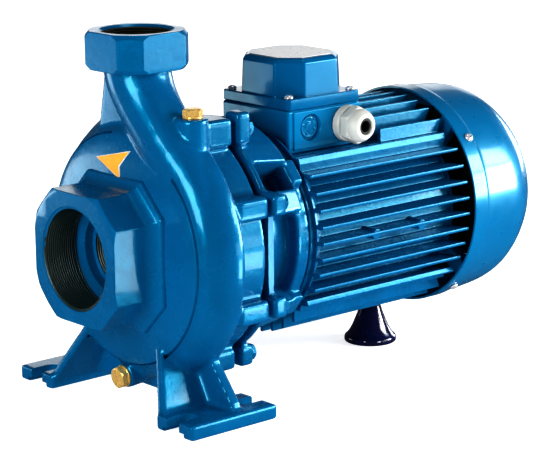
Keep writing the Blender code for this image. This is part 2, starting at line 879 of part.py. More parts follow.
def fin_outline():
    """The finned section: fins stand level on the sides and upright at top and bottom,
    and a square bar fills each corner between them. Side fins sit SIDE_FIN_DROP low."""
    half = FRAME_FIN_T / 2
    last = FRAME_FIN_COUNT
    outline = []
    for turn in range(4):
        c = round(math.cos(math.pi / 2 * turn))
        s = round(math.sin(math.pi / 2 * turn))
        quarter = []
        for k in range(-last, last + 1):
            offset = k * FRAME_FIN_PITCH - c * SIDE_FIN_DROP
            tip = math.sqrt(FRAME_FIN_TIP_R**2 - offset * offset)
            low, high = offset - half, offset + half
            root_low = FRAME_BAR_OUT if k == -last else barrel_depth(low)
            root_high = FRAME_BAR_OUT if k == last else barrel_depth(high)
            quarter += [(root_low, low), (tip, low), (tip, high), (root_high, high)]
        quarter.append((FRAME_BAR_OUT, FRAME_BAR_OUT - FRAME_BAR_CHAMFER))
        quarter.append((FRAME_BAR_OUT - FRAME_BAR_CHAMFER, FRAME_BAR_OUT))
        outline += [(a * c - b * s, SHAFT_Z + a * s + b * c) for a, b in quarter]
    return outline


def box_pedestal():
    """The raised base between the corner bars that carries the terminal box."""
    top = BOX_BOTTOM_Z - CLEARANCE
    foot = SHAFT_Z + 0.0580
    corners = []
    for side in (-1, 1):
        corners.append((BOX_X0 - 0.0010, side * (BOX_HALF_Y + 0.0015), top))
        corners.append((BOX_X1 + 0.0010, side * (BOX_HALF_Y + 0.0015), top))
        corners.append((BOX_X0 - 0.0050, side * 0.0610, foot))
        corners.append((BOX_X1 + 0.0120, side * 0.0610, foot))
    return skinned("box_pedestal", corners)


def build_frame():
    frame = flat_outline("fins", fin_outline(), FRAME_RING_X1 - 0.001, FRAME_FIN_REAR_X)
    step_r = FRAME_BARREL_R + 0.0005
    start = (FRAME_BARREL_REAR_X, 0, SHAFT_Z)
    end = (FRAME_FIN_REAR_X + 0.002, 0, SHAFT_Z)
    cut(frame, cone("frame_end_step", step_r, step_r, start, end, 64))
    low = (FRAME_RING_X1 - 0.002, -0.0600, SHAFT_Z + 0.0660)
    high = (TOP_FIN_FRONT_X, 0.0600, SHAFT_Z + 0.1100)
    cut(frame, box("top_fin_gap", low, high))
    start = (FRAME_RING_X1 - 0.0005, 0, SHAFT_Z)
    end = (FRAME_BARREL_REAR_X - 0.0010, 0, SHAFT_Z)
    barrel_r = FRAME_BARREL_R - 0.0012
    add(frame, cone("frame_barrel", barrel_r, barrel_r, start, end, 64))
    start = (FRAME_FRONT_X, 0, SHAFT_Z)
    end = (FRAME_RING_X1, 0, SHAFT_Z)
    add(frame, cone("frame_ring", BRACKET_RING_R, BRACKET_RING_R, start, end, 64))
    add(frame, box_pedestal())
    low = (BOX_X0 - CLEARANCE, -BOX_HALF_Y - 0.0020, BOX_BOTTOM_Z - CLEARANCE)
    high = (BOX_X1 + CLEARANCE, BOX_HALF_Y + 0.0020, SHAFT_Z + 0.1100)
    cut(frame, box("box_seat", low, high))
    start = (RUBBER_X, 0, RUBBER_TOP_Z + CLEARANCE)
    add(frame, cone("foot_boss", 0.0120, 0.0120, start, (RUBBER_X, 0, SHAFT_Z - 0.070), 24))
    for place, x in enumerate(PLATE_BOSS_X):
        for side in (-1, 1):
            start = (x, side * 0.078, SHAFT_Z)
            end = (x, side * (FRAME_FIN_TIP_R + 0.0006), SHAFT_Z)
            add(frame, cone(f"plate_boss_{place}_{side}", 0.0036, 0.0036, start, end, 12))
    keep(frame, "motor_frame", FRAME_BLUE)


def build_end_shield():
    """Rear shield: closes the barrel, and four ears carry the cowl."""
    profile = [
        (FAN_X0 - 0.0040, 0.0),
        (FAN_X0 - 0.0040, 0.0200),
        (SHIELD_REAR_X - 0.0040, 0.0260),
        (SHIELD_REAR_X - 0.0120, 0.0700),
        (SHIELD_REAR_X - 0.0200, 0.0790),
        (FRAME_BARREL_REAR_X + CLEARANCE, 0.0790),
        (FRAME_BARREL_REAR_X + CLEARANCE, 0.0),
    ]
    shield = turned_x("end_shield", profile, 48)
    inner = COWL_R - COWL_T - CLEARANCE
    x0, x1 = COWL_SCREW_X - 0.0080, COWL_SCREW_X + 0.0044
    for place, turn in enumerate(COWL_SCREW_TURNS):
        add(shield, corner_block(f"shield_ear_{place}", x0, x1, inner + 0.003, 0.0080, turn))
    rim = cone(
        "shield_trim",
        inner,
        inner,
        (FRAME_BARREL_REAR_X - 0.01, 0, SHAFT_Z),
        (SHIELD_REAR_X + 0.02, 0, SHAFT_Z),
        72,
    )
    trim(shield, rim)
    keep(shield, "end_shield", FRAME_BLUE)
    shade_round(shield)


def build_fan():
    """Cooling fan behind the end shield, with straight blades on a dished hub."""
    profile = [
        (FAN_X0 + 0.0200, 0.0),
        (FAN_X0 + 0.0200, 0.0180),
        (FAN_X0 + 0.0060, 0.0240),
        (FAN_X0 + 0.0040, 0.0820),
        (FAN_X0, 0.0820),
        (FAN_X0 - 0.0037, 0.0250),
        (FAN_X0 - 0.0037, 0.0),
    ]
    fan = turned_x("cooling_fan", profile, 36)
    for blade in range(7):
        turn = math.radians(360 / 7 * blade)
        low = (FAN_X0 + 0.002, -0.0012, 0.016)
        high = (FAN_X0 + 0.0220, 0.0012, 0.078)
        plate = box(f"blade_{blade}", low, high)
        plate.matrix_world = Matrix.Translation((0, 0, SHAFT_Z)) @ Matrix.Rotation(turn, 4, "X")
        add(fan, plate)
    keep(fan, "cooling_fan", SEAL_BLACK)


def build_cowl():
    """Pressed fan cowl, open at the front, with a slotted grille in its rear face."""
    rear = COWL_REAR_X
    outer = [
        (COWL_FRONT_X, COWL_R),
        (0.1645, COWL_R),
        (0.1670, 0.1010),
        (0.2000, 0.0986),
        (0.2080, 0.0977),
        (0.2170, 0.0957),
        (0.2215, 0.0940),
        (0.2290, 0.0896),
        (0.2360, 0.0847),
        (0.2410, 0.0808),
        (rear, 0.0775),
    ]
    profile = [(rear - COWL_T, 0.0)]
    profile += [(x - COWL_T * 0.6, r - COWL_T) for x, r in reversed(outer[3:])]
    profile += [(x, r - COWL_T) for x, r in reversed(outer[:3])]
    profile += outer
    profile.append((rear, 0.0))
    profile.reverse()
    cowl = turned_x("fan_cowl", profile, 64)
    slots = []
    x0, x1 = rear - 0.006, rear + 0.002
    for ring, (r0, r1, count, half) in enumerate(COWL_SLOTS):
        for k in range(count):
            turn = COWL_SLOT_PHASE + 360 / count * k + ring * 180 / count
            slots.append(sector(f"slot_{ring}_{k}", x0, r0, r1, x1, r0, r1, turn, half, 2))
    bm = bmesh.new()
    for slot in slots:
        bm.from_mesh(slot.data)
    mesh = bpy.data.meshes.new("cowl_slots")
    bm.to_mesh(mesh)
    bm.free()
    for slot in slots:
        bpy.data.objects.remove(slot, do_unlink=True)
    holes = helper(mesh, "cowl_slots")
    cut(cowl, holes)
    keep(cowl, "fan_cowl", COWL_BLUE)
    shade_round(cowl)


def build_cowl_screws():
    for number, turn in enumerate(COWL_SCREW_TURNS, start=1):
        angle = math.radians(turn)
        out = Vector((0, -math.cos(angle), math.sin(angle)))
        base = Vector((COWL_SCREW_X, 0, SHAFT_Z)) + out * (COWL_R + CLEARANCE)
        screw = cone(f"cowl_screw_{number}", 0.0042, 0.0034, base, base + out * 0.0026, 20)
        keep(screw, f"cowl_screw_{number}", CHROME)


# Terminal box

def corner_cut(x0, x1, half_y, chamfer):
    return [
        (x0 + chamfer, -half_y),
        (x1 - chamfer, -half_y),
        (x1, -half_y + chamfer),
        (x1, half_y - chamfer),
        (x1 - chamfer, half_y),
        (x0 + chamfer, half_y),
        (x0, half_y - chamfer),
        (x0, -half_y + chamfer),
    ]


def build_terminal_box():
    body = box(
        "terminal_box",
        (BOX_X0, -BOX_HALF_Y, BOX_BOTTOM_Z),
        (BOX_X1, BOX_HALF_Y, BOX_TOP_Z),
    )
    bevel(body, 0.0020)
    panel = box(
        "entry_panel",
        (BOX_X0 + 0.0060, -BOX_HALF_Y - 0.0012, BOX_BOTTOM_Z + 0.0030),
        (BOX_X1 - 0.0040, -BOX_HALF_Y + 0.0040, BOX_TOP_Z - 0.0015),
    )
    bevel(panel, 0.0010)
    add(body, panel)
    face = -BOX_HALF_Y - 0.0012
    cut(
        body,
        cone(
            "knockout_recess",
            0.0117,
            0.0117,
            (KNOCKOUT_X, face + 0.0040, KNOCKOUT_Z),
            (KNOCKOUT_X, face - 0.0020, KNOCKOUT_Z),
            32,
        ),
    )
    keep(body, "terminal_box", BOX_BLUE)
    blank = cone(
        "knockout_blank",
        0.0095,
        0.0095,
        (KNOCKOUT_X, face + 0.0040 - CLEARANCE, KNOCKOUT_Z),
        (KNOCKOUT_X, face + 0.0022, KNOCKOUT_Z),
        32,
    )
    keep(blank, "knockout_blank", BOX_BLUE)


def build_lid():
    low = BOX_TOP_Z + CLEARANCE
    half_y = BOX_HALF_Y + 0.0007
    plate = flat_outline(
        "terminal_lid", corner_cut(BOX_X0, BOX_X1, half_y, 0.0030), low, LID_FLANGE_TOP_Z, "Z"
    )
    inset = LID_INSET
    base = corner_cut(BOX_X0 + inset, BOX_X1 - inset, half_y - inset, LID_CHAMFER)
    inset += 0.0010
    wall = corner_cut(BOX_X0 + inset, BOX_X1 - inset, half_y - inset, LID_CHAMFER)
    inset += 0.0035
    top = corner_cut(BOX_X0 + inset, BOX_X1 - inset, half_y - inset, LID_CHAMFER - 0.0020)
    corners = [(x, y, LID_FLANGE_TOP_Z - 0.002) for x, y in base]
    corners += [(x, y, LID_WALL_TOP_Z) for x, y in wall]
    corners += [(x, y, LID_TOP_Z) for x, y in top]
    add(plate, skinned("lid_hood", corners))
    keep(plate, "terminal_lid", BOX_BLUE)
    label = flat_outline(
        "label_plate",
        corner_cut(BOX_X0 + 0.0110, BOX_X1 - 0.0110, half_y - 0.0110, LID_CHAMFER - 0.0040),
        LID_TOP_Z + CLEARANCE,
        LID_TOP_Z + 0.0008,
        "Z",
    )
    keep(label, "label_plate", LABEL_WHITE)


def build_lid_screws():
    number = 1
    for x in (BOX_X0 + 0.0068, BOX_X1 - 0.0068):
        for y in (-BOX_HALF_Y + 0.0062, BOX_HALF_Y - 0.0062):
            base = (x, y, LID_FLANGE_TOP_Z + CLEARANCE)
            screw = cone(
                f"lid_screw_{number}", 0.0040, 0.0036, base, (x, y, LID_FLANGE_TOP_Z + 0.0030), 20
            )
            keep(screw, f"lid_screw_{number}", CHROME)
            number += 1


def turned_y(name, profile, steps):
    """A solid turned about the gland's axis, which points to -Y. The profile lists
    (distance from the box face, radius), from the outer end back, down the outer side."""
    obj = turned_x(name, profile, steps)
    obj.rotation_euler = (math.radians(90), 0.0, 0.0)
    obj.location = (GLAND_X, -BOX_HALF_Y - 0.0012, GLAND_Z)
    return obj


def build_gland():
    body = turned_y(
        "gland_body",
        [
            (0.0085, 0.0085),
            (0.0085, 0.0150),
            (0.0070, 0.0165),
            (0.0010, 0.0165),
            (CLEARANCE, 0.0155),
            (CLEARANCE, 0.0085),
            (0.0085, 0.0085),
        ],
        36,
    )
    keep(body, "gland_body", GLAND_GREY)
    shade_round(body)
    nut = turned_y(
        "gland_nut",
        [
            (0.0275, 0.0),
            (0.0275, 0.0098),
            (0.0265, 0.0116),
            (0.0225, 0.0143),
            (0.0180, 0.0152),
            (0.0120, 0.0152),
            (0.0120, 0.0),
        ],
        32,
    )
    face_y = -BOX_HALF_Y - 0.0012
    start = (GLAND_X, face_y - 0.0088, GLAND_Z)
    end = (GLAND_X, face_y - 0.0182, GLAND_Z)
    add(nut, cone("gland_hex", 0.0178, 0.0178, start, end, 6))
    end = (GLAND_X, face_y - 0.0300, GLAND_Z)
    cut(nut, cone("gland_bore", GLAND_BORE_R, GLAND_BORE_R, (GLAND_X, face_y, GLAND_Z), end, 32))
    keep(nut, "gland_nut", GLAND_GREY)
    seal = turned_y(
        "gland_seal",
        [
            (0.0262, 0.0052),
            (0.0262, 0.0069),
            (0.0100, 0.0069),
            (0.0100, 0.0052),
            (0.0262, 0.0052),
        ],
        28,
    )
    keep(seal, "gland_seal", SEAL_BLACK)
    shade_round(seal)


def build_rubber_foot():
    base = (RUBBER_X, 0, 0.0050)
    top = (RUBBER_X, 0, RUBBER_TOP_Z)
    foot = cone("rubber_cone", RUBBER_BASE_R - 0.0020, RUBBER_TOP_R, base, top, 36)
    base = (RUBBER_X, 0, 0.0)
    top = (RUBBER_X, 0, 0.0055)
    add(foot, cone("rubber_flange", RUBBER_BASE_R, RUBBER_BASE_R, base, top, 36))
    keep(foot, "rubber_foot", RUBBER_BLACK)
    shade_round(foot)


build_casing()
build_plugs()
build_arrow()
build_impeller()
build_cover()
build_bracket()
build_bracket_bolts()
build_frame()
build_end_shield()
build_fan()
build_cowl()
build_cowl_screws()
build_terminal_box()
build_lid()
build_lid_screws()
build_gland()
build_rubber_foot()
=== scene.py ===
import json
import math
from types import SimpleNamespace

import bpy
from mathutils import Matrix, Vector


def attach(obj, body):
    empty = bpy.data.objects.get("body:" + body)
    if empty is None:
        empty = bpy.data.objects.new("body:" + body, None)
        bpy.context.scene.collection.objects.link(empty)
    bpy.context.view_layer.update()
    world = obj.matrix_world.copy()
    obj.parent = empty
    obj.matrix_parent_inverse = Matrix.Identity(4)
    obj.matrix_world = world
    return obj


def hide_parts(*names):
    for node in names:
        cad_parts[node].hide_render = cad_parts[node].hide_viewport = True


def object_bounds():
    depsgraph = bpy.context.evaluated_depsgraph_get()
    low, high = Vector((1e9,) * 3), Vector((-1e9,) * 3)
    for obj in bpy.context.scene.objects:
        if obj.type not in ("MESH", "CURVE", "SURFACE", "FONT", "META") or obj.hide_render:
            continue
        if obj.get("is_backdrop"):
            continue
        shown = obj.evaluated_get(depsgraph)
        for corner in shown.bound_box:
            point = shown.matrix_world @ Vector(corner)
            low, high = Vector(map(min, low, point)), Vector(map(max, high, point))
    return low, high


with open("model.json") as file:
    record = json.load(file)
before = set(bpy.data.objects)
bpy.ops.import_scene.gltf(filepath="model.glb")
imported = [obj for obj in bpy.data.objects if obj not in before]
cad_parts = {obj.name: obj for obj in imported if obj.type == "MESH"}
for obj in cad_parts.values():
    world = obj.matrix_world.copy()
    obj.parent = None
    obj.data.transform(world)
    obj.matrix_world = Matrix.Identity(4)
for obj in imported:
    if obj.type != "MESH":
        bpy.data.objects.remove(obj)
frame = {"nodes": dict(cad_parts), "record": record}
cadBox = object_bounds()
scene = bpy.context.scene

midX = 0.0071      # stations along the shaft are counted from here, as on the drawing
shaftZ = 0.1365    # height of the shaft over the floor


def pick(*objs):
    bpy.ops.object.select_all(action="DESELECT")
    for obj in objs:
        obj.select_set(True)
    bpy.context.view_layer.objects.active = objs[0]
    return objs[0]


def edit(obj, kind="FACE"):
    pick(obj)
    bpy.ops.object.mode_set(mode="EDIT")
    bpy.ops.mesh.select_mode(type=kind)
    bpy.ops.mesh.select_all(action="SELECT")


def leave():
    bpy.ops.object.mode_set(mode="OBJECT")
    return bpy.context.object


def place(obj, name):
    obj.name = name
    pick(obj)
    bpy.ops.object.transform_apply(location=True, rotation=True, scale=True)
    return obj


def modify(obj, kind, **settings):
    pick(obj)
    mod = obj.modifiers.new(kind.lower(), kind)
    for key, value in settings.items():
        setattr(mod, key, value)
    bpy.ops.object.modifier_apply(modifier=mod.name)
    return obj


def soften(obj, width, parts=2, angle=30):
    return modify(obj, "BEVEL", width=width, segments=parts, limit_method="ANGLE",
                  angle_limit=math.radians(angle))


def addBox(name, low, high):
    low, high = Vector(low), Vector(high)
    bpy.ops.mesh.primitive_cube_add(size=1, location=(low + high) / 2, scale=high - low)
    return place(bpy.context.object, name)


def addRod(name, r, start, end, sides=48, tip=None):
    start, end = Vector(start), Vector(end)
    along = end - start
    turn = along.to_track_quat("Z", "Y").to_euler()
    bpy.ops.mesh.primitive_cone_add(vertices=sides, radius1=r, radius2=r if tip is None else tip,
                                    depth=along.length, location=(start + end) / 2, rotation=turn)
    return place(bpy.context.object, name)


def fromPoints(name, points, edges=(), faces=()):
    mesh = bpy.data.meshes.new(name)
    mesh.from_pydata([tuple(p) for p in points], list(edges), list(faces))
    obj = bpy.data.objects.new(name, mesh)
    scene.collection.objects.link(obj)
    return obj


def mend(obj):
    edit(obj)
    bpy.ops.mesh.remove_doubles(threshold=0.00001)
    bpy.ops.mesh.normals_make_consistent(inside=False)
    return leave()


def spin(name, line, steps=96, centre=(0, 0, shaftZ), axis="X"):
    # turns a line of (along, radius) about an axis through the centre
    centre = Vector(centre)
    points = []
    for along, radius in line:
        if axis == "X":
            points.append((along, centre.y - radius, centre.z))
        elif axis == "Y":
            points.append((centre.x + radius, along, centre.z))
        else:
            points.append((centre.x + radius, centre.y, along))
    obj = fromPoints(name, points, [(k, k + 1) for k in range(len(points) - 1)])
    edit(obj, "VERT")
    turnAxis = {"X": (1, 0, 0), "Y": (0, 1, 0), "Z": (0, 0, 1)}[axis]
    bpy.ops.mesh.spin(steps=steps, angle=2 * math.pi, center=centre, axis=turnAxis)
    leave()
    return mend(obj)


def plate(name, outline, low, high, axis="X"):
    # a flat outline, extruded from low to high
    slot = "XYZ".index(axis)
    points = []
    for pair in outline:
        point = list(pair)
        point.insert(slot, low)
        points.append(point)
    obj = fromPoints(name, points, faces=[range(len(points))])
    edit(obj)
    move = [0, 0, 0]
    move[slot] = high - low
    bpy.ops.mesh.extrude_region_move(TRANSFORM_OT_translate={"value": move})
    leave()
    return mend(obj)


def hull(name, corners):
    obj = fromPoints(name, corners)
    edit(obj, "VERT")
    bpy.ops.mesh.convex_hull()
    leave()
    return mend(obj)


def join(name, *objs):
    pick(*objs)
    bpy.ops.object.join()
    objs[0].name = name
    return objs[0]


def cut(obj, *cutters, how="DIFFERENCE", solver="EXACT"):
    tool = join("cutter", *cutters)
    modify(obj, "BOOLEAN", object=tool, operation=how, solver=solver)
    bpy.data.objects.remove(tool)
    return obj


def carve(obj, *cutters, how="DIFFERENCE"):
    # one Boolean after the other, with the fast solver for closed solids
    for cutter in cutters:
        cut(obj, cutter, how=how, solver="MANIFOLD")
    return obj


def copyOf(obj, name, matrix):
    twin = obj.copy()
    twin.data = obj.data.copy()
    twin.name = name
    scene.collection.objects.link(twin)
    twin.data.transform(matrix)
    return twin


def rounded(points, parts=5):
    # a line of (along, out, corner size) with its corners rounded
    line = []
    for k, point in enumerate(points):
        here = Vector(point[:2])
        size = point[2] if len(point) > 2 else 0
        if not size or k in (0, len(points) - 1):
            line.append(tuple(here))
            continue
        back = Vector(points[k - 1][:2]) - here
        ahead = Vector(points[k + 1][:2]) - here
        a = here + back.normalized() * min(size, back.length * 0.49)
        b = here + ahead.normalized() * min(size, ahead.length * 0.49)
        for step in range(parts + 1):
            t = step / parts
            line.append(tuple(a.lerp(here, t).lerp(here.lerp(b, t), t)))
    return line


def flowing(points, parts=5):
    # a smooth line through all the points
    line = []
    count = len(points)
    for k in range(count - 1):
        p0, p1, p2, p3 = (Vector(points[min(max(k + j, 0), count - 1)]) for j in (-1, 0, 1, 2))
        for step in range(parts):
            t = step / parts
            line.append(tuple(0.5 * ((2 * p1) + (p2 - p0) * t + (2 * p0 - 5 * p1 + 4 * p2 - p3) * t * t
                                     + (3 * p1 - p0 - 3 * p2 + p3) * t ** 3)))
    line.append(tuple(points[-1]))
    return line


def finish(obj, slot, *replaced, material=None, angle=35):
    obj.data.transform(Matrix.Translation((-midX, 0, 0)))
    obj.data.materials.clear()
    obj.data.materials.append(material or slotFinish[slot])
    pick(obj)
    bpy.ops.object.shade_smooth_by_angle(angle=math.radians(angle))
    # keeps flats flat beside their rounded edges
    modify(obj, "WEIGHTED_NORMAL", mode="FACE_AREA", keep_sharp=True)
    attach(obj, "root")
    if replaced:
        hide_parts(*replaced)


def repeat(pattern, name, slot, node, spots, angle=35):
    # copies of one pattern, each with its own mesh
    for number, spot in enumerate(spots, 1):
        finish(copyOf(pattern, f"{name}{number}", spot), slot, f"{node}_{number}", angle=angle)
    bpy.data.objects.remove(pattern)


def turnedOn(places, step, axis):
    return [Matrix.Translation(at) @ Matrix.Rotation(step * k, 4, axis) for k, at in enumerate(places, 1)]


# Finishes

def finishNodes(name):
    # a bare material, with the few kinds of node that the finishes are built from
    mat = bpy.data.materials.new(name)
    mat.use_nodes = True
    tree = mat.node_tree
    tree.nodes.clear()

    def add(kind, values=None, sources=None):
        node = tree.nodes.new("ShaderNode" + kind)
        for socket, value in (values or {}).items():
            node.inputs[socket].default_value = value
        for socket, source in (sources or {}).items():
            tree.links.new(source, node.inputs[socket])
        return node

    shader = add("BsdfPrincipled")
    add("OutputMaterial", sources={"Surface": shader.outputs[0]})
    place = add("TexCoord").outputs["Object"]

    def noise(scale, detail=3, rough=0.5):
        values = {"Scale": scale, "Detail": detail, "Roughness": rough}
        return add("TexNoise", values, {"Vector": place}).outputs[0]

    def ramp(source, *stops):
        node = add("ValToRGB", sources={"Fac": source})
        elements = node.color_ramp.elements
        while len(elements) < len(stops):
            elements.new(0.5)
        for element, (at, colour) in zip(elements, stops):
            element.position = at
            element.color = (*colour, 1)
        return node.outputs[0]

    def spread(source, low, high):
        values = {"From Min": 0.3, "From Max": 0.7, "To Min": low, "To Max": high}
        return add("MapRange", values, {"Value": source}).outputs[0]

    def bump(source, depth, under=None):
        sources = {"Height": source}
        if under is not None:
            sources["Normal"] = under
        return add("Bump", {"Distance": depth, "Strength": 1}, sources).outputs[0]

    def link(source, socket):
        tree.links.new(source, shader.inputs[socket])

    def fix(values):
        for socket, value in values.items():
            shader.inputs[socket].default_value = value

    return SimpleNamespace(mat=mat, place=place, add=add, noise=noise, ramp=ramp, spread=spread,
                           bump=bump, link=link, fix=fix)


def paint(name, look):
    # gloss paint: its colour drifts a little, with orange peel on top and the casting's skin under it
    n = finishNodes(name)
    colour, gloss = look["colour"], look["gloss"]
    dark = tuple(c * look["drift"] for c in colour)
    n.link(n.ramp(n.noise(look["driftScale"], 3), (0.35, dark), (0.65, colour)), "Base Color")
    n.link(n.spread(n.noise(look["smearScale"], 4), gloss - 0.04, gloss + 0.06), "Roughness")
    (castScale, castDepth), (peelScale, peelDepth) = look["cast"], look["peel"]
    skin = n.bump(n.noise(castScale, 4, 0.6), castDepth)
    n.link(n.bump(n.noise(peelScale, 2), peelDepth, skin), "Normal")
    n.fix({"Coat Weight": look["coat"], "Coat Roughness": look["coatGloss"],
           "Specular IOR Level": look["shine"], "Specular Tint": (*look["tint"], 1)})
    return n.mat


castLook = {
    "colour": (0, 0.098, 0.23), "drift": 0.84, "driftScale": 24, "smearScale": 60, "gloss": 0.25,
    "cast": (130, 0.00022), "peel": (420, 0.00006),      # scale and depth
    "coat": 0.24, "coatGloss": 0.06, "shine": 0.8, "tint": (0, 0.66, 1),
}
motorLook = dict(castLook, colour=(0, 0.089, 0.214), cast=(240, 0.00018), gloss=0.26, coat=0.1, shine=0.6)
cowlLook = dict(castLook, colour=(0, 0.122, 0.272), drift=0.92, cast=(60, 0.00004), peel=(700, 0.00002),
                gloss=0.3, coat=0.45, coatGloss=0.11, shine=0.85, tint=(0, 0.7, 1))
# The box and the lid are one paint in two tones: the box's is made lighter as painted light on its panel, the
# lid's darker as painted shade on the hood
litBoxLook = dict(castLook, colour=(0, 0.146, 0.318), drift=0.9, cast=(300, 0.00004), peel=(800, 0.00003),
               gloss=0.15, coat=0.18, coatGloss=0.05, shine=0.5)
shadedLidPaint = paint("shadedLidPaint", dict(litBoxLook, colour=(0, 0.098, 0.232)))


def surface(name, colour, drift, gloss, grain, shine=0.5, metallic=0):
    # metal, plastic or rubber: drift is (share, scale) and grain is (scale, depth)
    n = finishNodes(name)
    steps, smear, less, more, rough = (4, 3, 0.05, 0.08, 0.5) if metallic else (3, 2, 0.04, 0.06, 0.6)
    share, scale = drift
    dark = tuple(c * share for c in colour)
    n.link(n.ramp(n.noise(scale, steps), (0.3, dark), (0.7, colour)), "Base Color")
    n.link(n.spread(n.noise(scale * smear, steps), gloss - less, gloss + more), "Roughness")
    n.link(n.bump(n.noise(grain[0], 3, rough), grain[1]), "Normal")
    n.fix({"Metallic": metallic, "Specular IOR Level": shine})
    return n.mat


fanPlastic = surface("fanPlastic", (0.016, 0.017, 0.018), (0.6, 90), 0.45, (800, 0.00006), 0.45)
arrowWhite = surface("arrowWhite", (0.85, 0.88, 0.9), (0.9, 160), 0.4, (900, 0.00003))
slotFinish = {
    "casting_blue": paint("castPaint", castLook),
    "frame_blue": paint("motorPaint", motorLook),
    "cowl_blue": paint("cowlPaint", cowlLook),
    "box_blue": paint("litBoxPaint", litBoxLook),
    "brass": surface("brass", (0.92, 0.6, 0.2), (0.82, 120), 0.26, (900, 0.00003), metallic=0.55),
    "chrome": surface("chrome", (0.8, 0.81, 0.83), (0.8, 150), 0.16, (1200, 0.00002), metallic=0.6),
    "dark_steel": surface("darkIron", (0.045, 0.055, 0.05), (0.45, 140), 0.42, (500, 0.00012), metallic=0.6),
    "gland_grey": surface("glandPlastic", (0.52, 0.53, 0.49), (0.9, 90), 0.42, (1400, 0.00004)),
    "seal_black": surface("sealRubber", (0.02, 0.02, 0.022), (0.5, 200), 0.6, (1500, 0.00005), 0.4),
    "rubber_black": surface("footRubber", (0.008, 0.009, 0.045), (0.6, 80), 0.1, (700, 0.00005), 0.6),
    "arrow_yellow": surface("arrowYellow", (0.86, 0.37, 0.01), (0.82, 160), 0.36, (900, 0.00004)),
    "label_white": surface("labelWhite", (0.68, 0.7, 0.72), (0.95, 70), 0.3, (600, 0.00003)),
}


def thread(name, axis, look):
    # bare machined iron darkened as painted shade: the turns of the thread as fine lines across the bore, with
    # painted shade in their roots and a painted highlight on their crests
    n = finishNodes(name)
    wave = n.add("TexWave", {"Scale": look["turns"], "Distortion": 0.25, "Detail": 1}, {"Vector": n.place})
    wave.bands_direction = axis
    lines = wave.outputs["Fac"]
    n.link(n.ramp(lines, (0.3, look["dark"]), (0.75, look["colour"]), (1, look["crest"])), "Base Color")
    n.link(n.spread(n.noise(140, 4), 0.34, 0.52), "Roughness")
    n.link(n.bump(lines, look["depth"], n.bump(n.noise(700, 3), 0.0001)), "Normal")
    n.fix({"Metallic": 0.35})
    return n.mat


# dark is painted shade in the thread roots, crest a painted highlight, and colour the iron darkened as painted
# shade
threadShadeLook = {"turns": 138, "depth": 0.0009, "dark": (0.012, 0.03, 0.03),
              "colour": (0.062, 0.105, 0.1), "crest": (0.3, 0.32, 0.27)}
suctionIronShaded = thread("suctionIronShaded", "X", threadShadeLook)
deliveryIronShaded = thread("deliveryIronShaded", "Z", {
    **threadShadeLook, "colour": (0.07, 0.055, 0.04), "crest": (0.22, 0.16, 0.1)})
print("finishes ready")


# Pump casing: one casting, so its solids are grown together and then machined

casing = {
    "voxel": 0.0012,       # size of the grain that the solids are grown together with
    "fillet": 0.0014,      # radius left in the inner corners
    "relax": 2,            # rounds of smoothing after that
    "keep": 0.45,          # share of the faces that stays
    # half section of the body: (x, radius), from the rear wall over the rim and the dome
    "rear": ((-0.107, 0), (-0.107, 0.105)),
    "rim": ((-0.1385, 0.1052), (-0.14, 0.113), (-0.143, 0.118), (-0.1465, 0.1195), (-0.151, 0.1183),
        (-0.1565, 0.1147), (-0.163, 0.11), (-0.169, 0.106), (-0.173, 0.1034), (-0.1754, 0.1016),
        (-0.177, 0.1), (-0.178, 0.0985)),
    "dome": ((-0.178, 0.0985), (-0.1797, 0.0925), (-0.1812, 0.084), (-0.1825, 0.074), (-0.1837, 0.065),
        (-0.185, 0.06), (-0.188, 0.057), (-0.194, 0.054)),
    # the spiral is fuller on the side that the neck leaves from, so its ring is set off the shaft
    "spiral": ((-0.1385, 0.1045), (-0.14, 0.112), (-0.143, 0.1165), (-0.1465, 0.1176), (-0.153, 0.1172),
        (-0.16, 0.1148), (-0.166, 0.1108), (-0.1705, 0.1058), (-0.1725, 0.1018)),
    "spiralY": -0.0036,
    "crease": ((-0.1806, 0.0984), (-0.1742, 0.1002), (-0.1806, 0.103), (-0.1806, 0.0984)),
    "chamber": ((-0.1447, 0), (-0.1447, 0.088), (-0.105, 0.088), (-0.105, 0)),
    # lugs: y and z of the middle, then half the width and half the height
    "lugs": ((0.101, 0.0435, 0.011, 0.0092), (0.101, -0.045, 0.011, 0.0092),
        (0.057, 0.101, 0.0095, 0.012), (0.057, -0.0965, 0.0095, 0.0092)),
    "lugX": (-0.141, -0.1087),
    # neck: (y, z) of its middle and its radius there
    "neck": (((0, 0.299), 0.029), ((-0.001, 0.286), 0.0285), ((-0.0045, 0.276), 0.0278),
        ((-0.0105, 0.2655), 0.027), ((-0.019, 0.2545), 0.0265), ((-0.0295, 0.243), 0.0262),
        ((-0.0405, 0.231), 0.026), ((-0.054, 0.2185), 0.0245), ((-0.07, 0.2035), 0.0218),
        ((-0.0845, 0.183), 0.0202), ((-0.0935, 0.159), 0.0196), ((-0.0965, 0.132), 0.019)),
    "neckR": 0.0262,
    "neckWeb": ((-0.01, 0.2915), (0.031, 0.2915), (0.033, 0.28), (0.043, 0.23), (0.048, 0.21),
        (-0.035, 0.21)),
    "neckWebX": (-0.169, -0.15),
    "crossWeb": ((-0.112, 0.007), (-0.07, 0.007), (-0.025, 0.0095), (0.025, 0.0095), (0.07, 0.007),
        (0.112, 0.007), (0.111, 0.018), (0.087, 0.047), (0.07, 0.079), (-0.07, 0.079), (-0.087, 0.047),
        (-0.111, 0.018)),
    "crossWebX": (-0.152, -0.142),
}
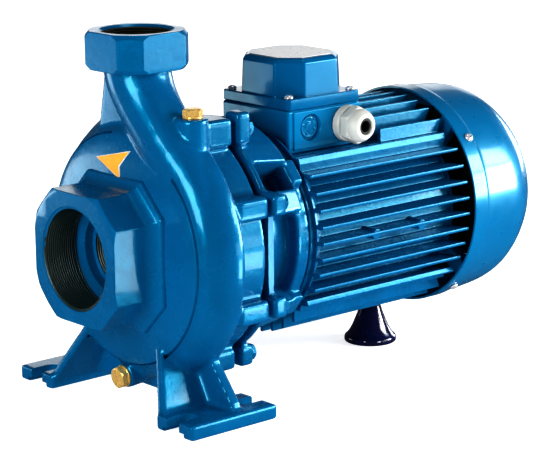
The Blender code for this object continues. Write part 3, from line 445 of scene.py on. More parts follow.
foot = {
    "x": (-0.2036, -0.1111), "y": (0.0748, 0.1222), "high": 0.013, "edge": 0.0015,
    "slotY": 0.097, "slotR": 0.008, "slotIn": 0.016, "padHigh": 0.0045, "padGap": 0.014,
    # long web: x, y and z of its corners, each over the web's thickness
    "web": ((-0.203, 0.0754, 0.006), (-0.203, 0.0838, 0.006), (-0.149, 0.0754, 0.006),
        (-0.149, 0.0838, 0.006), (-0.18, 0.044, 0.062), (-0.18, 0.053, 0.062), (-0.149, 0.044, 0.062),
        (-0.149, 0.053, 0.062)),
}
vent = {"x": -0.15, "y": -0.064, "bossR": 0.013, "z": (shaftZ + 0.089, shaftZ + 0.118),
        "across": 0.015, "headZ": shaftZ + 0.1183}
drain = {"boss": ((-0.1795, 0, 0.0248), (-0.143, 0, 0.0278)), "bossR": 0.011,
         "across": 0.017, "base": (-0.1798, 0, 0.0248), "toward": (-1, 0, -0.083)}

# The two ports. Depths run from the face inwards
suction = {
    "faceX": -0.2288, "octagon": (0.112, 0.032), "core": (0.1085, 0.031), "coreX": (-0.2248, -0.18),
    "skirt": ((-0.2288, 0), (-0.1985, 0), (-0.1945, 0.0008), (-0.191, 0.0024), (-0.188, 0.005),
              (-0.1862, 0.0082), (-0.185, 0.0092), (-0.178, 0.0092)),      # x, flare of the flats
    "mouth": ((-0.002, 0), (-0.002, 0.0462), (0.0008, 0.0446)),
    "crest": (0.0014, 0.0426), "root": (0.0025, 0.044), "turns": 13,
    "behind": ((0.031, 0.0455), (0.036, 0.0455), (0.0365, 0.044), (0.0372, 0.035), (0.0455, 0.035),
        (0.046, 0.031), (0.0848, 0.031), (0.0848, 0)),
}
delivery = {
    "x": -0.1572, "topZ": 0.3229, "lowZ": 0.2904, "octagon": (0.0756, 0.0223),
    "core": (0.073, 0.0215), "coreZ": (0.2935, 0.319),
    "mouth": ((-0.001, 0), (-0.001, 0.0335), (0.0022, 0.03)),
    "crest": (0.0028, 0.0286), "root": (0.004, 0.03), "turns": 10,
    "behind": ((0.027, 0.03), (0.0275, 0.0225), (0.052, 0.0215), (0.052, 0)),
}
threadPitch = 0.0023


def octagon(size, middle, flare=0):
    # size: width across the flats, then half a long flat
    a, b = size[0] / 2, size[1]
    grow = (a + flare) / a
    corners = ((a, -b), (a, b), (b, a), (-b, a), (-a, b), (-a, -b), (-b, -a), (b, -a))
    return [(middle[0] + u * grow, middle[1] + v * grow) for u, v in corners]


def cornerOf(size):
    return math.hypot(size[0] / 2, size[1]) + 0.001


def loft(name, rings):
    # closed skin over a row of rings that all have the same number of points
    count = len(rings[0])
    faces = [tuple(range(count)), tuple(range((len(rings) - 1) * count, len(rings) * count))]
    for row in range(len(rings) - 1):
        for k in range(count):
            a, b = row * count + k, row * count + (k + 1) % count
            faces.append((a, b, b + count, a + count))
    return mend(fromPoints(name, [point for ring in rings for point in ring], faces=faces))


def lugBlocks(x0, x1, rise=0):
    blocks = []
    for y, z, halfY, halfZ in casing["lugs"]:
        for side in (-1, 1):
            low = (x0, side * y - halfY, shaftZ + z - halfZ)
            high = (x1, side * y + halfY, shaftZ + z + halfZ + (rise if z > 0.09 else 0))
            blocks.append(soften(addBox("lug", low, high), 0.003))
    return blocks


def growTogether(name, parts, look):
    # overlapping solids become one skin with rounded inner corners
    body = join(name, *parts)
    for swell in (look["fillet"], -look["fillet"]):
        modify(body, "REMESH", mode="VOXEL", voxel_size=look["voxel"])
        modify(body, "DISPLACE", strength=swell, mid_level=0)
    modify(body, "REMESH", mode="VOXEL", voxel_size=look["voxel"])
    return modify(body, "SMOOTH", factor=0.5, iterations=look["relax"])


def neckPipe():
    bpy.ops.curve.primitive_bezier_curve_add()
    pipe = bpy.context.object
    pipe.matrix_world = Matrix.Identity(4)
    pipe.data.bevel_depth = casing["neckR"]
    pipe.data.bevel_resolution = 12
    pipe.data.resolution_u = 8
    pipe.data.use_fill_caps = True
    spline = pipe.data.splines[0]
    spline.bezier_points.add(len(casing["neck"]) - 2)
    for point, ((y, z), radius) in zip(spline.bezier_points, casing["neck"]):
        point.co = (delivery["x"], y, z)
        point.handle_left_type = point.handle_right_type = "AUTO"
        point.radius = radius / casing["neckR"]
    pick(pipe)
    bpy.ops.object.convert(target="MESH")
    return mend(bpy.context.object)


def castParts():
    # all that is grown together, with cores that are slightly smaller than the bosses
    line = [*casing["rear"], *flowing(casing["rim"]), *flowing(casing["dome"])[1:], (casing["dome"][-1][0], 0)]
    spiral = casing["spiral"]
    ring = [(spiral[0][0], 0), *flowing(spiral), (spiral[-1][0], 0)]
    parts = [
        spin("casingBody", line, 160),
        spin("spiral", ring, 160, (0, casing["spiralY"], shaftZ)),
        plate("suctionCore", octagon(suction["core"], (0, shaftZ)), *suction["coreX"]),
        plate("deliveryCore", octagon(delivery["core"], (delivery["x"], 0)), *delivery["coreZ"], "Z"),
        neckPipe(),
        soften(plate("neckWeb", casing["neckWeb"], *casing["neckWebX"]), 0.0025),
    ]
    start, end = ((vent["x"], vent["y"], z) for z in vent["z"])
    parts.append(soften(addRod("ventBoss", vent["bossR"], start, end, 40), 0.0012))
    parts.append(soften(addRod("drainBoss", drain["bossR"], *drain["boss"], 40), 0.0012))
    parts += lugBlocks(*casing["lugX"])
    parts.append(plate("crossWeb", casing["crossWeb"], *casing["crossWebX"]))
    x0, x1 = foot["x"]
    for side in (-1, 1):
        low, high = sorted(side * y for y in foot["y"])
        parts.append(soften(addBox("foot", (x0, low, 0), (x1, high, foot["high"])), foot["edge"]))
        parts.append(hull("longWeb", [(x, side * y, z) for x, y, z in foot["web"]]))
    return parts


def suctionBoss():
    front = suction["faceX"]
    rings = []
    for at, flare in suction["skirt"]:
        rings.append([(at, y, z) for y, z in octagon(suction["octagon"], (0, shaftZ), flare)])
    boss = soften(loft("suctionBoss", rings), 0.001, 2, 24)
    corner = cornerOf(suction["octagon"])
    line = [(-0.17, 0), (-0.17, 0.09), (-0.196, 0.09), (-0.2, corner), (front + 0.0035, corner),
            (front - 0.0005, corner - 0.0085), (front - 0.0005, 0)]
    return cut(boss, spin("bossTurning", line, 64), how="INTERSECT")


def deliveryBoss():
    x, low, top = delivery["x"], delivery["lowZ"], delivery["topZ"]
    boss = soften(plate("deliveryBoss", octagon(delivery["octagon"], (x, 0)), low, top, "Z"), 0.0009, 2)
    corner = cornerOf(delivery["octagon"])
    line = [(low - 0.001, 0), (low - 0.001, corner - 0.0055), (0.296, corner), (0.317, corner),
            (top + 0.001, corner - 0.0055), (top + 0.001, 0)]
    return cut(boss, spin("bossTurning", line, 64, (x, 0, 0), "Z"), how="INTERSECT")


def boreLine(port, face, into):
    # the mouth, the turns of the thread and the steps behind them
    line = list(port["mouth"])
    for turn in range(port["turns"]):
        line += [(depth + turn * threadPitch, radius) for depth, radius in (port["crest"], port["root"])]
    line += port["behind"]
    return [(face + into * depth, radius) for depth, radius in line]


def footCutters(side):
    # open slots at both ends, and a channel that leaves the machined pads
    cutters = []
    y, r = side * foot["slotY"], foot["slotR"]
    for end, inward in zip(foot["x"], (1, -1)):
        middle = end + inward * foot["slotIn"]
        cutters.append(addRod("slotEnd", r, (middle, y, -0.002), (middle, y, 0.02), 32))
        low, high = sorted((end - inward * 0.004, middle))
        cutters.append(addBox("slotMouth", (low, y - r, -0.002), (high, y + r, 0.02)))
    gap = foot["padGap"]
    cutters.append(addBox("channel", (-0.206, y - gap, -0.002), (-0.109, y + gap, foot["padHigh"])))
    return cutters


def shadeBareIron(body):
    # the ports and the impeller chamber are machined, so they show iron, darkened as painted shade inside the
    # bores, the eye and the chamber
    face, top = suction["faceX"], delivery["topZ"]
    body.data.materials.append(suctionIronShaded)
    body.data.materials.append(deliveryIronShaded)
    for side in body.data.polygons:
        at = side.center + Vector((midX, 0, -shaftZ))
        fromAxis = math.hypot(at.y, at.z)
        fromPort = math.hypot(at.x - delivery["x"], at.y)
        inSuction = face + 0.0011 < at.x < face + 0.0362 and 0.0415 < fromAxis < 0.0458
        inEye = face + 0.0462 < at.x < -0.144 and fromAxis < 0.0312
        inChamber = -0.145 < at.x < -0.1068 and fromAxis < 0.0884
        if inSuction or inEye or inChamber:
            side.material_index = 1
        elif top - 0.0272 < side.center.z < top - 0.0024 and 0.027 < fromPort < 0.0306:
            side.material_index = 2


def buildCasing():
    body = growTogether("pumpCasing", castParts(), casing)
    modify(body, "DECIMATE", ratio=casing["keep"])
    # the crease round the dome, left out where the neck runs over it
    crease = spin("crease", casing["crease"], 160)
    sector = ((0, shaftZ), (-0.125, shaftZ + 0.127), (0.015, shaftZ + 0.127))
    carve(crease, hull("underNeck", [(x, y, z) for x in (-0.19, -0.17) for y, z in sector]))
    carve(body, crease)
    carve(body, suctionBoss(), deliveryBoss(), how="UNION")
    carve(body, spin("suctionPort", boreLine(suction, suction["faceX"], 1), 72),
          spin("chamber", casing["chamber"], 72),
          spin("deliveryPort", boreLine(delivery, delivery["topZ"], -1), 64, (delivery["x"], 0, 0), "Z"))
    for side in (-1, 1):
        carve(body, *footCutters(side))
    print("casing", len(body.data.polygons), "faces")
    finish(body, "casting_blue", "pump_casing")
    shadeBareIron(body)


buildCasing()


# Bracket between casing and motor: grown the same way

bracket = {
    "voxel": 0.0012, "fillet": 0.0018, "relax": 2, "keep": 0.4,
    "line": ((-0.1004, 0), (-0.1004, 0.1048), (-0.0992, 0.1062), (-0.0962, 0.1065), (-0.0946, 0.105),
        (-0.094, 0.078), (-0.0543, 0.072), (-0.0543, 0.085), (-0.0533, 0.086), (-0.0415, 0.086),
        (-0.0403, 0.0848), (-0.0403, 0)),
    "lugX": (-0.1034, -0.0885), "lugRise": 0.0035,
    "armX": (-0.096, -0.0523), "armIn": 0.066,
    "arms": ((24, 6), (156, 6), (-41, 8), (221, 8)),   # turn round the shaft, half width
    "armOut": (0.101, 0.095), "roofOut": (0.1062, 0.0985),
    "cornerX": (-0.0543, -0.0403), "corners": (40, 140, 220, 320),
    "flatX": (-0.103, -0.093), "flatY": (0.1003, 0.11), "flatZ": (shaftZ - 0.0345, shaftZ + 0.0328),
}


def radial(x, radius, turn):
    turn = math.radians(turn)
    return (x, -radius * math.cos(turn), shaftZ + radius * math.sin(turn))


def wedge(name, x0, in0, out0, x1, in1, out1, turn, half, steps=4):
    # a slice of a tapered ring about the shaft
    corners = []
    for step in range(steps + 1):
        at = turn - half + 2 * half * step / steps
        corners += [radial(x0, in0, at), radial(x0, out0, at), radial(x1, out1, at), radial(x1, in1, at)]
    return hull(name, corners)


def turnedBlock(name, x0, x1, low, radius, half, turn, bevel=0.0025):
    block = soften(addBox(name, (x0, -half, low), (x1, half, radius)), bevel)
    spot = Matrix.Translation((0, 0, shaftZ)) @ Matrix.Rotation(math.radians(turn - 90), 4, "X")
    block.data.transform(spot)
    return block


def buildBracket():
    parts = [spin("bracketBody", bracket["line"], 144)]
    (x0, x1), low = bracket["armX"], bracket["armIn"]
    out0, out1 = bracket["armOut"]
    for turn, half in bracket["arms"]:
        parts.append(wedge("arm", x0, low, out0, x1, low, out1, turn, half))
    out0, out1 = bracket["roofOut"]
    parts.append(wedge("roof", x0, low, out0, x1, low, out1, 90, 45, 16))
    for turn in bracket["corners"]:
        parts.append(turnedBlock("corner", *bracket["cornerX"], 0.05, 0.094, 0.012, turn))
    parts += lugBlocks(*bracket["lugX"], bracket["lugRise"])
    body = growTogether("motorBracket", parts, bracket)
    for side in (-1, 1):         # flat between the side lugs
        y0, y1 = sorted(side * y for y in bracket["flatY"])
        (x0, x1), (z0, z1) = bracket["flatX"], bracket["flatZ"]
        carve(body, addBox("flat", (x0, y0, z0), (x1, y1, z1)))
    modify(body, "DECIMATE", ratio=bracket["keep"])
    print("bracket", len(body.data.polygons), "faces")
    finish(body, "casting_blue", "motor_bracket")


buildBracket()


# Bolts in the lugs, and the two brass plugs

bolt = {"across": 0.013, "high": 0.0053, "collar": 0.0008, "x": -0.0882}
plug = {"high": 0.008, "collar": 0.0016}


def hexHead(name, across, height, collar, base=(0, 0, 0), toward=(1, 0, 0)):
    # hexagon with turned corners, standing on a collar
    r = across / math.sqrt(3)
    head = soften(addRod(name, r, (0, 0, collar), (0, 0, height), 6), 0.0004, 2, 20)
    line = [(-0.001, 0), (-0.001, r + 0.001), (height - 0.0016, r + 0.0002),
            (height - 0.0003, r - 0.0016), (height, r - 0.0026), (height, 0)]
    cut(head, spin("turned", line, 48, (0, 0, 0), "Z"), how="INTERSECT")
    top = collar + 0.0002
    line = rounded([(0, 0), (0, r * 0.98, 0.0003), (top, r * 0.98, 0.0005), (top, r * 0.7), (top, 0)], 3)
    cut(head, spin("collar", line, 48, (0, 0, 0), "Z"), how="UNION")
    turn = Vector(toward).to_track_quat("Z", "Y").to_matrix().to_4x4()
    head.data.transform(Matrix.Translation(base) @ turn)
    return head


pattern = hexHead("boltPattern", bolt["across"], bolt["high"], bolt["collar"])
places = [(bolt["x"], side * y, shaftZ + z) for y, z, halfY, halfZ in casing["lugs"] for side in (-1, 1)]
repeat(pattern, "lugBolt", "casting_blue", "bracket_bolt", turnedOn(places, 0.37, "X"), 28)
ventPlug = hexHead("ventPlug", vent["across"], plug["high"], plug["collar"],
                   (vent["x"], vent["y"], vent["headZ"]), (0, 0, 1))
finish(ventPlug, "brass", "vent_plug", angle=28)
drainPlug = hexHead("drainPlug", drain["across"], plug["high"], plug["collar"], drain["base"], drain["toward"])
finish(drainPlug, "brass", "drain_plug", angle=28)


# Flow arrow on the dome, with its white edge

arrow = {
    "corners": ((0.0262, 0.0772), (-0.0075, 0.064), (-0.005, 0.074), (-0.0176, 0.0875)),      # y, z
    "lift": 0.0005, "thick": 0.0012, "edge": 0.0011, "edgeLift": 0.0002, "edgeThick": 0.0008,
}


def domeX(y, z):
    radius = math.hypot(y, z)
    line = casing["dome"]
    for (x0, r0), (x1, r1) in zip(line, line[1:]):
        if r1 <= radius <= r0:
            return x0 + (x1 - x0) * (radius - r0) / (r1 - r0)
    return line[0][0]


def buildArrow(name, grow, lift, thick):
    corners = [Vector(corner) for corner in arrow["corners"]]
    middle = sum(corners, Vector((0, 0))) / 4
    corners = [c + (c - middle).normalized() * grow for c in corners]
    obj = fromPoints(name, [(0, c.x, c.y) for c in corners], faces=[(0, 1, 2), (0, 2, 3)])
    edit(obj)
    bpy.ops.mesh.subdivide(number_cuts=14)
    leave()
    for vert in obj.data.vertices:      # laid on the dome
        y, z = vert.co.y, vert.co.z
        vert.co = (domeX(y, z) - lift - thick, y, shaftZ + z)
    modify(obj, "SOLIDIFY", thickness=thick, offset=-1)
    return mend(obj)


flowArrow = soften(buildArrow("flowArrow", 0, arrow["lift"], arrow["thick"]), 0.0003, 2, 50)
finish(flowArrow, "arrow_yellow", "flow_arrow")
arrowEdge = buildArrow("arrowEdge", arrow["edge"], arrow["edgeLift"], arrow["edgeThick"])
finish(arrowEdge, "label_white", material=arrowWhite)


# Impeller and back cover, seen through the eye and in the joint

impeller = {
    "line": ((-0.11, 0), (-0.11, 0.08, 0.0008), (-0.125, 0.08, 0.0008), (-0.127, 0.055, 0.006),
        (-0.133, 0.036, 0.004), (-0.143, 0.03, 0.0006), (-0.1432, 0.0262, 0.0006), (-0.13, 0.0262, 0.003),
        (-0.129, 0.012, 0.003), (-0.139, 0.01, 0.0015), (-0.14, 0)),
    "vanes": 6,
    # leading edge of a vane: x, radius and turn of its corners
    "vane": ((-0.14, 0.0262, 0), (-0.14, 0.0268, 8), (-0.1295, 0.0268, 0), (-0.1295, 0.0268, 8),
        (-0.1345, 0.011, 26), (-0.1345, 0.011, 40), (-0.1285, 0.011, 26), (-0.1285, 0.011, 40)),
}
coverLine = ((-0.1013, 0), (-0.1013, 0.0955, 0.0005), (-0.1067, 0.0955, 0.0005), (-0.1067, 0.0875, 0),
    (-0.1097, 0.0872, 0.0008), (-0.1097, 0))


def buildImpeller():
    body = spin("impellerBody", rounded(impeller["line"], 4), 72)
    for k in range(impeller["vanes"]):
        turn = 360 / impeller["vanes"] * k
        vane = hull("vane", [radial(x, r, turn + t) for x, r, t in impeller["vane"]])
        cut(body, vane, how="UNION")
    finish(body, "dark_steel", "impeller", angle=30)


buildImpeller()
finish(spin("backCover", rounded(coverLine, 3), 120), "dark_steel", "back_cover")
print("pump end done")

# Motor frame: one finned section, extruded and turned off at the ends

motor = {
    "barrelR": 0.08, "tipR": 0.098, "pitch": 0.0143, "root": 0.0042, "tip": 0.0031, "count": 4,
    "sideDrop": 0.003, "barIn": 0.0605, "barOut": 0.068, "barChamfer": (0.0044, 0.0017),
    "x": (-0.0355, 0.1447), "topFinX": 0.069,
    # half sections: what the ends are turned off to, the barrel, and the ring at its front
    "ends": ((0.1337, 0), (0.1337, 0.08), (0.1449, 0.0982), (0.15, 0.099), (0.15, 0)),
    "barrel": ((-0.0355, 0), (-0.0355, 0.0895), (-0.0335, 0.0893), (-0.0215, 0.079), (0.132, 0.0788),
        (0.132, 0)),
    "ring": ((-0.04, 0), (-0.04, 0.086, 0.001), (-0.0348, 0.086, 0.0006), (-0.0348, 0)),
    "footX": 0.1121, "footBossR": 0.012,
    "plateBossX": (0.0288, 0.0843), "plateBossY": (0.078, 0.097), "plateBossR": (0.0052, 0.0046),
}


def barrelDepth(v):
    return max(math.sqrt(motor["barrelR"] ** 2 - v * v), motor["barIn"])


def finSection():
    # fins level at the sides and upright at top and bottom, a bar in each corner
    last, root, tip = motor["count"], motor["root"] / 2, motor["tip"] / 2
    bar = motor["barOut"]
    outline = []
    for turn in range(4):
        c, s = round(math.cos(math.pi / 2 * turn)), round(math.sin(math.pi / 2 * turn))
        quarter = []
        for k in range(-last, last + 1):
            at = k * motor["pitch"] - c * motor["sideDrop"]
            out = math.sqrt(motor["tipR"] ** 2 - at * at)
            low = bar if k == -last else barrelDepth(at - root)
            high = bar if k == last else barrelDepth(at + root)
            under = [(out - 0.0011, at - tip), (out - 0.0003, at - tip + 0.0003), (out, at - tip + 0.001)]
            over = [(out, at + tip - 0.001), (out - 0.0003, at + tip - 0.0003), (out - 0.0011, at + tip)]
            if c == 1 and k == -last:       # the lowest fin each side has a wide sloping lip on top
                over = [(out, at + 0.0002), (out - 0.0012, at + 0.003), (out - 0.0024, at + 0.0034)]
            if c == -1 and k == last:
                under = [(out - 0.0024, at - 0.0034), (out - 0.0012, at - 0.003), (out, at - 0.0002)]
            start, end = at - root, at + root
            quarter += [(low, start - 0.0012), (low + 0.0003, start - 0.0005), (low + 0.0012, start)]
            quarter += under + over
            quarter += [(high + 0.0012, end), (high + 0.0003, end + 0.0005), (high, end + 0.0012)]
        high, wide = motor["barChamfer"] if s else motor["barChamfer"][::-1]
        quarter += [(bar, bar - wide - 0.0003), (bar - 0.0003, bar - wide),
                    (bar - high, bar - 0.0001), (bar - high - 0.0004, bar)]
        outline += [(a * c - b * s, shaftZ + a * s + b * c) for a, b in quarter]
    return outline


box = {
    "x": (-0.0285, 0.0576), "halfY": 0.0445, "bottomZ": 0.2037, "topZ": 0.2421, "flangeTopZ": 0.2521,
    "wallTopZ": 0.2815, "lidTopZ": 0.2852, "inset": 0.004, "cornerCut": 0.019,
    "panelOut": 0.0012, "gland": (0.0385, 0.2242), "knockout": (-0.0026, 0.2252),
    # the frame's pedestal under it: how much wider than the box at top and bottom
    "pedestalTop": (0.001, 0.001, 0.046), "pedestalLow": (0.005, 0.012, 0.061),
}
panelY = -box["halfY"] - box["panelOut"]


def boxPedestal():
    (x0, x1), top = box["x"], box["bottomZ"] - 0.0003
    corners = []
    for side in (-1, 1):
        for (front, rear, y), z in ((box["pedestalTop"], top), (box["pedestalLow"], shaftZ + 0.058)):
            corners += [(x0 - front, side * y, z), (x1 + rear, side * y, z)]
    return soften(hull("pedestal", corners), 0.0018, 3)


def buildFrame():
    body = plate("motorFrame", finSection(), *motor["x"])
    carve(body, spin("endTurning", motor["ends"], 96),
          addBox("topGap", (-0.037, -0.06, shaftZ + 0.066), (motor["topFinX"], 0.06, shaftZ + 0.11)))
    carve(body, spin("barrel", motor["barrel"], 160), spin("frameRing", rounded(motor["ring"], 3), 144),
          boxPedestal(), how="UNION")
    (x0, x1), seatZ = box["x"], box["bottomZ"] - 0.0003
    carve(body, addBox("boxSeat", (x0 - 0.0003, -0.0465, seatZ), (x1 + 0.0003, 0.0465, shaftZ + 0.11)))
    x, r = motor["footX"], motor["footBossR"]
    bosses = [soften(addRod("footBoss", r, (x, 0, 0.0363), (x, 0, shaftZ - 0.07)), 0.0008)]
    y0, y1 = motor["plateBossY"]
    z = shaftZ - 0.004
    r, tip = motor["plateBossR"]
    for x in motor["plateBossX"]:
        for side in (-1, 1):
            boss = addRod("plateBoss", r, (x, side * y0, z), (x, side * y1, z), 28, tip)
            bosses.append(soften(boss, 0.0006))
    carve(body, *bosses, how="UNION")
    print("motor frame", len(body.data.polygons), "faces")
    finish(body, "frame_blue", "motor_frame", angle=30)


buildFrame()


# Rear shield with its four ears, the fan and the cowl

shield = {
    "line": ((0.17, 0), (0.17, 0.02, 0.001), (0.158, 0.026, 0.003), (0.15, 0.07, 0.004),
        (0.142, 0.079, 0.001), (0.134, 0.079, 0.0006), (0.134, 0)),
    "earX": (0.152, 0.1644), "earHalf": 0.008,
}
fan = {
    "line": ((0.194, 0), (0.194, 0.018, 0.001), (0.18, 0.024, 0.003), (0.178, 0.082, 0.0008),
        (0.174, 0.082, 0.0008), (0.1703, 0.025, 0.002), (0.1703, 0)),
    "blades": 7, "blade": ((0.176, -0.0012, 0.016), (0.196, 0.0012, 0.078)),
}
cowl = {
    "frontX": 0.1486, "rearX": 0.243, "r": 0.102, "thick": 0.0018,
    "screwX": 0.16, "screwTurns": (38, 128, 218, 308),
    "line": ((0.1486, 0.102, 0.0004), (0.164, 0.102, 0.001), (0.1672, 0.101, 0.002), (0.2, 0.0986, 0.01),
        (0.208, 0.0977, 0.004), (0.2165, 0.0958, 0.004), (0.2215, 0.0938, 0.002), (0.229, 0.0896, 0.004),
        (0.236, 0.0847, 0.003), (0.2408, 0.081, 0.002), (0.243, 0.0772, 0.002)),
    # grille: the shallow steps pressed between its rings, as (depth, radius)
    "steps": ((0, 0.0735), (0.0006, 0.0725), (0.0006, 0.0478), (0, 0.047), (0, 0.045), (0.0006, 0.0442),
        (0.0006, 0.0185), (0, 0.0175), (0, 0)),
    # and its slots: inner and outer radius, count, half width and turn in degrees
    "slots": ((0.02, 0.043, 6, 20, 1.9), (0.049, 0.071, 12, 11, 16.9)),
}


def buildShield():
    body = spin("endShield", rounded(shield["line"], 4), 96)
    reach = cowl["r"] - cowl["thick"] - 0.0003
    for turn in cowl["screwTurns"]:
        ear = turnedBlock("ear", *shield["earX"], 0.05, reach + 0.003, shield["earHalf"], turn, 0.0015)
        carve(body, ear, how="UNION")
    trim = addRod("trim", reach, (0.12, 0, shaftZ), (0.19, 0, shaftZ), 144)
    carve(body, trim, how="INTERSECT")
    finish(body, "frame_blue", "end_shield")


def buildFan():
    body = spin("coolingFan", rounded(fan["line"], 4), 96)
    for k in range(fan["blades"]):
        blade = soften(addBox("blade", *fan["blade"]), 0.0008)
        turn = Matrix.Rotation(2 * math.pi / fan["blades"] * k, 4, "X")
        blade.data.transform(Matrix.Translation((0, 0, shaftZ)) @ turn)
        carve(body, blade, how="UNION")
    finish(body, "seal_black", "cooling_fan", material=fanPlastic)


def buildCowl():
    front, rear, wall = cowl["frontX"], cowl["rearX"], cowl["thick"]
    outer = rounded([*cowl["line"], (rear, 0.075)], 5)
    inner = [(x - (wall * 0.55 if x > 0.17 else 0), r - wall) for x, r in outer[:-1]]
    inner[0] = (front, cowl["r"] - wall)
    inner = [point for point in inner if point[0] < rear - wall]
    line = [(rear - wall, 0), *reversed(inner), *outer]
    line += [(rear - depth, radius) for depth, radius in cowl["steps"]]
    body = spin("fanCowl", line, 160)
    for r0, r1, count, half, shift in cowl["slots"]:
        slots = [wedge("slot", rear - 0.006, r0, r1, rear + 0.002, r0, r1, 360 / count * k + shift, half, 8)
                 for k in range(count)]
        cut(body, *slots, solver="MANIFOLD")
    print("cowl", len(body.data.polygons), "faces")
    finish(body, "cowl_blue", "fan_cowl", angle=25)


buildShield()
buildFan()
buildCowl()


# Pan head screws with a cross recess: one pattern for the cowl and one for the lid

screws = {"cowl": (0.0042, 0.0026), "lid": (0.004, 0.0027), "inX": 0.0068, "inY": 0.0062}      # radius, height


def panScrew(name, radius, height):
    line = rounded([(0, 0), (0, radius, 0.0002), (height * 0.35, radius, 0.0008),
                    (height, radius * 0.62, radius * 0.35), (height, 0)], 5)
    body = spin(name, line, 40, (0, 0, 0), "Z")
    arm, thin = radius * 0.5, radius * 0.5 * 0.22
    for x, y in ((arm, thin), (thin, arm)):
        carve(body, addBox("slot", (-x, -y, height - 0.0012), (x, y, height + 0.001)))
    return body


spots = []
for number, turn in enumerate(cowl["screwTurns"], 1):
    out = Vector(radial(0, 1, turn)) - Vector((0, 0, shaftZ))
    seat = Matrix.Translation(Vector((cowl["screwX"], 0, shaftZ)) + out * (cowl["r"] + 0.0003))
    lie = out.to_track_quat("Z", "Y").to_matrix().to_4x4()
    spots.append(seat @ lie @ Matrix.Rotation(0.5 * number, 4, "Z"))
repeat(panScrew("screwPattern", *screws["cowl"]), "cowlScrew", "chrome", "cowl_screw", spots)

(x0, x1), y, z = box["x"], box["halfY"] - screws["inY"], box["flangeTopZ"] + 0.0003
places = [(x, side * y, z) for x in (x0 + screws["inX"], x1 - screws["inX"]) for side in (-1, 1)]
repeat(panScrew("screwPattern", *screws["lid"]), "lidScrew", "chrome", "lid_screw", turnedOn(places, 0.6, "Z"))
print("motor end done")


# Terminal box, its lid and the cable gland. Lines for round pieces are (out of the panel, radius)

knockout = {
    "hole": ((-0.004, 0), (-0.004, 0.0112), (-0.0006, 0.0117), (0.0001, 0.0123), (0.002, 0.0123), (0.002, 0)),
    "blank": ((-0.0037, 0), (-0.0037, 0.0095, 0.0002), (-0.0024, 0.0095, 0.0005), (-0.0022, 0.008, 0.0006),
        (-0.003, 0.0072, 0.0005), (-0.003, 0.0048, 0.0006), (-0.0022, 0.0036, 0.0008), (-0.0022, 0)),
    "bar": ((-0.0012, panelY + 0.0022, 0.0055), (0.0012, panelY + 0.0034, 0.0086)),
    "barTurns": (20, 110, 200, 290),
}
gland = {
    "body": ((0.0085, 0.0085, 0), (0.0085, 0.015, 0.0012), (0.007, 0.0165, 0.0012), (0.001, 0.0165, 0.0008),
        (0.0003, 0.0155, 0.0004), (0.0003, 0.0085, 0), (0.0085, 0.0085, 0)),
    "nut": ((0.0275, 0), (0.0275, 0.009, 0.001), (0.0268, 0.0112, 0.0016), (0.0228, 0.0141, 0.003),
        (0.018, 0.0152, 0.003), (0.012, 0.0152, 0), (0.012, 0)),
    "hexR": 0.0175, "hexY": (0.0094, 0.0182),
    "hexTurning": ((0.008, 0), (0.008, 0.0158), (0.0104, 0.0172), (0.016, 0.0172), (0.019, 0.0154), (0.019, 0)),
    "bore": ((-0.001, 0), (-0.001, 0.0072), (0.0262, 0.0072), (0.03, 0.0092), (0.03, 0)),
    "seal": ((0.0262, 0.0052, 0.0006), (0.0262, 0.0069, 0.0005), (0.01, 0.0069, 0), (0.01, 0.0052, 0),
        (0.0262, 0.0052, 0)),
}


def onPanel(name, line, spot, sides):
    return spin(name, [(panelY - out, radius) for out, radius in line], sides, (spot[0], 0, spot[1]), "Y")


def buildBox():
    (x0, x1), y = box["x"], box["halfY"]
    body = soften(addBox("terminalBox", (x0, -y, box["bottomZ"]), (x1, y, box["topZ"])), 0.0024, 4)
    panel = soften(addBox("panel", (x0 + 0.006, panelY, box["bottomZ"] + 0.003),
                          (x1 - 0.004, -y + 0.004, box["topZ"] - 0.0015)), 0.0011, 3)
    carve(body, panel, how="UNION")
    carve(body, onPanel("recess", knockout["hole"], box["knockout"], 72))
    finish(body, "box_blue", "terminal_box")

    x, z = box["knockout"]
    blank = onPanel("knockoutBlank", rounded(knockout["blank"], 3), (x, z), 60)
    for turn in knockout["barTurns"]:      # four plain lugs that hold the blank in its hole
        bar = soften(addBox("bar", *knockout["bar"]), 0.0004)
        bar.data.transform(Matrix.Translation((x, 0, z)) @ Matrix.Rotation(math.radians(turn), 4, "Y"))
        carve(blank, bar, how="UNION")
    finish(blank, "box_blue", "knockout_blank")


def cutCorners(inset, size, z=None):
    # outline of the box with its corners cut off
    x0, x1, y = box["x"][0] + inset, box["x"][1] - inset, box["halfY"] + 0.0007 - inset
    outline = [(x0 + size, -y), (x1 - size, -y), (x1, -y + size), (x1, y - size),
               (x1 - size, y), (x0 + size, y), (x0, y - size), (x0, -y + size)]
    return outline if z is None else [(*corner, z) for corner in outline]


def buildLid():
    rim = plate("terminalLid", cutCorners(0, 0.003), box["topZ"] + 0.0003, box["flangeTopZ"], "Z")
    soften(rim, 0.0012, 3)
    inset, size = box["inset"], box["cornerCut"]
    corners = [*cutCorners(inset, size, box["flangeTopZ"] - 0.002),
               *cutCorners(inset + 0.001, size, box["wallTopZ"]),
               *cutCorners(inset + 0.0045, size - 0.002, box["lidTopZ"])]
    carve(rim, soften(hull("hood", corners), 0.0016, 4, 20), how="UNION")
    finish(rim, "box_blue", "terminal_lid", material=shadedLidPaint)


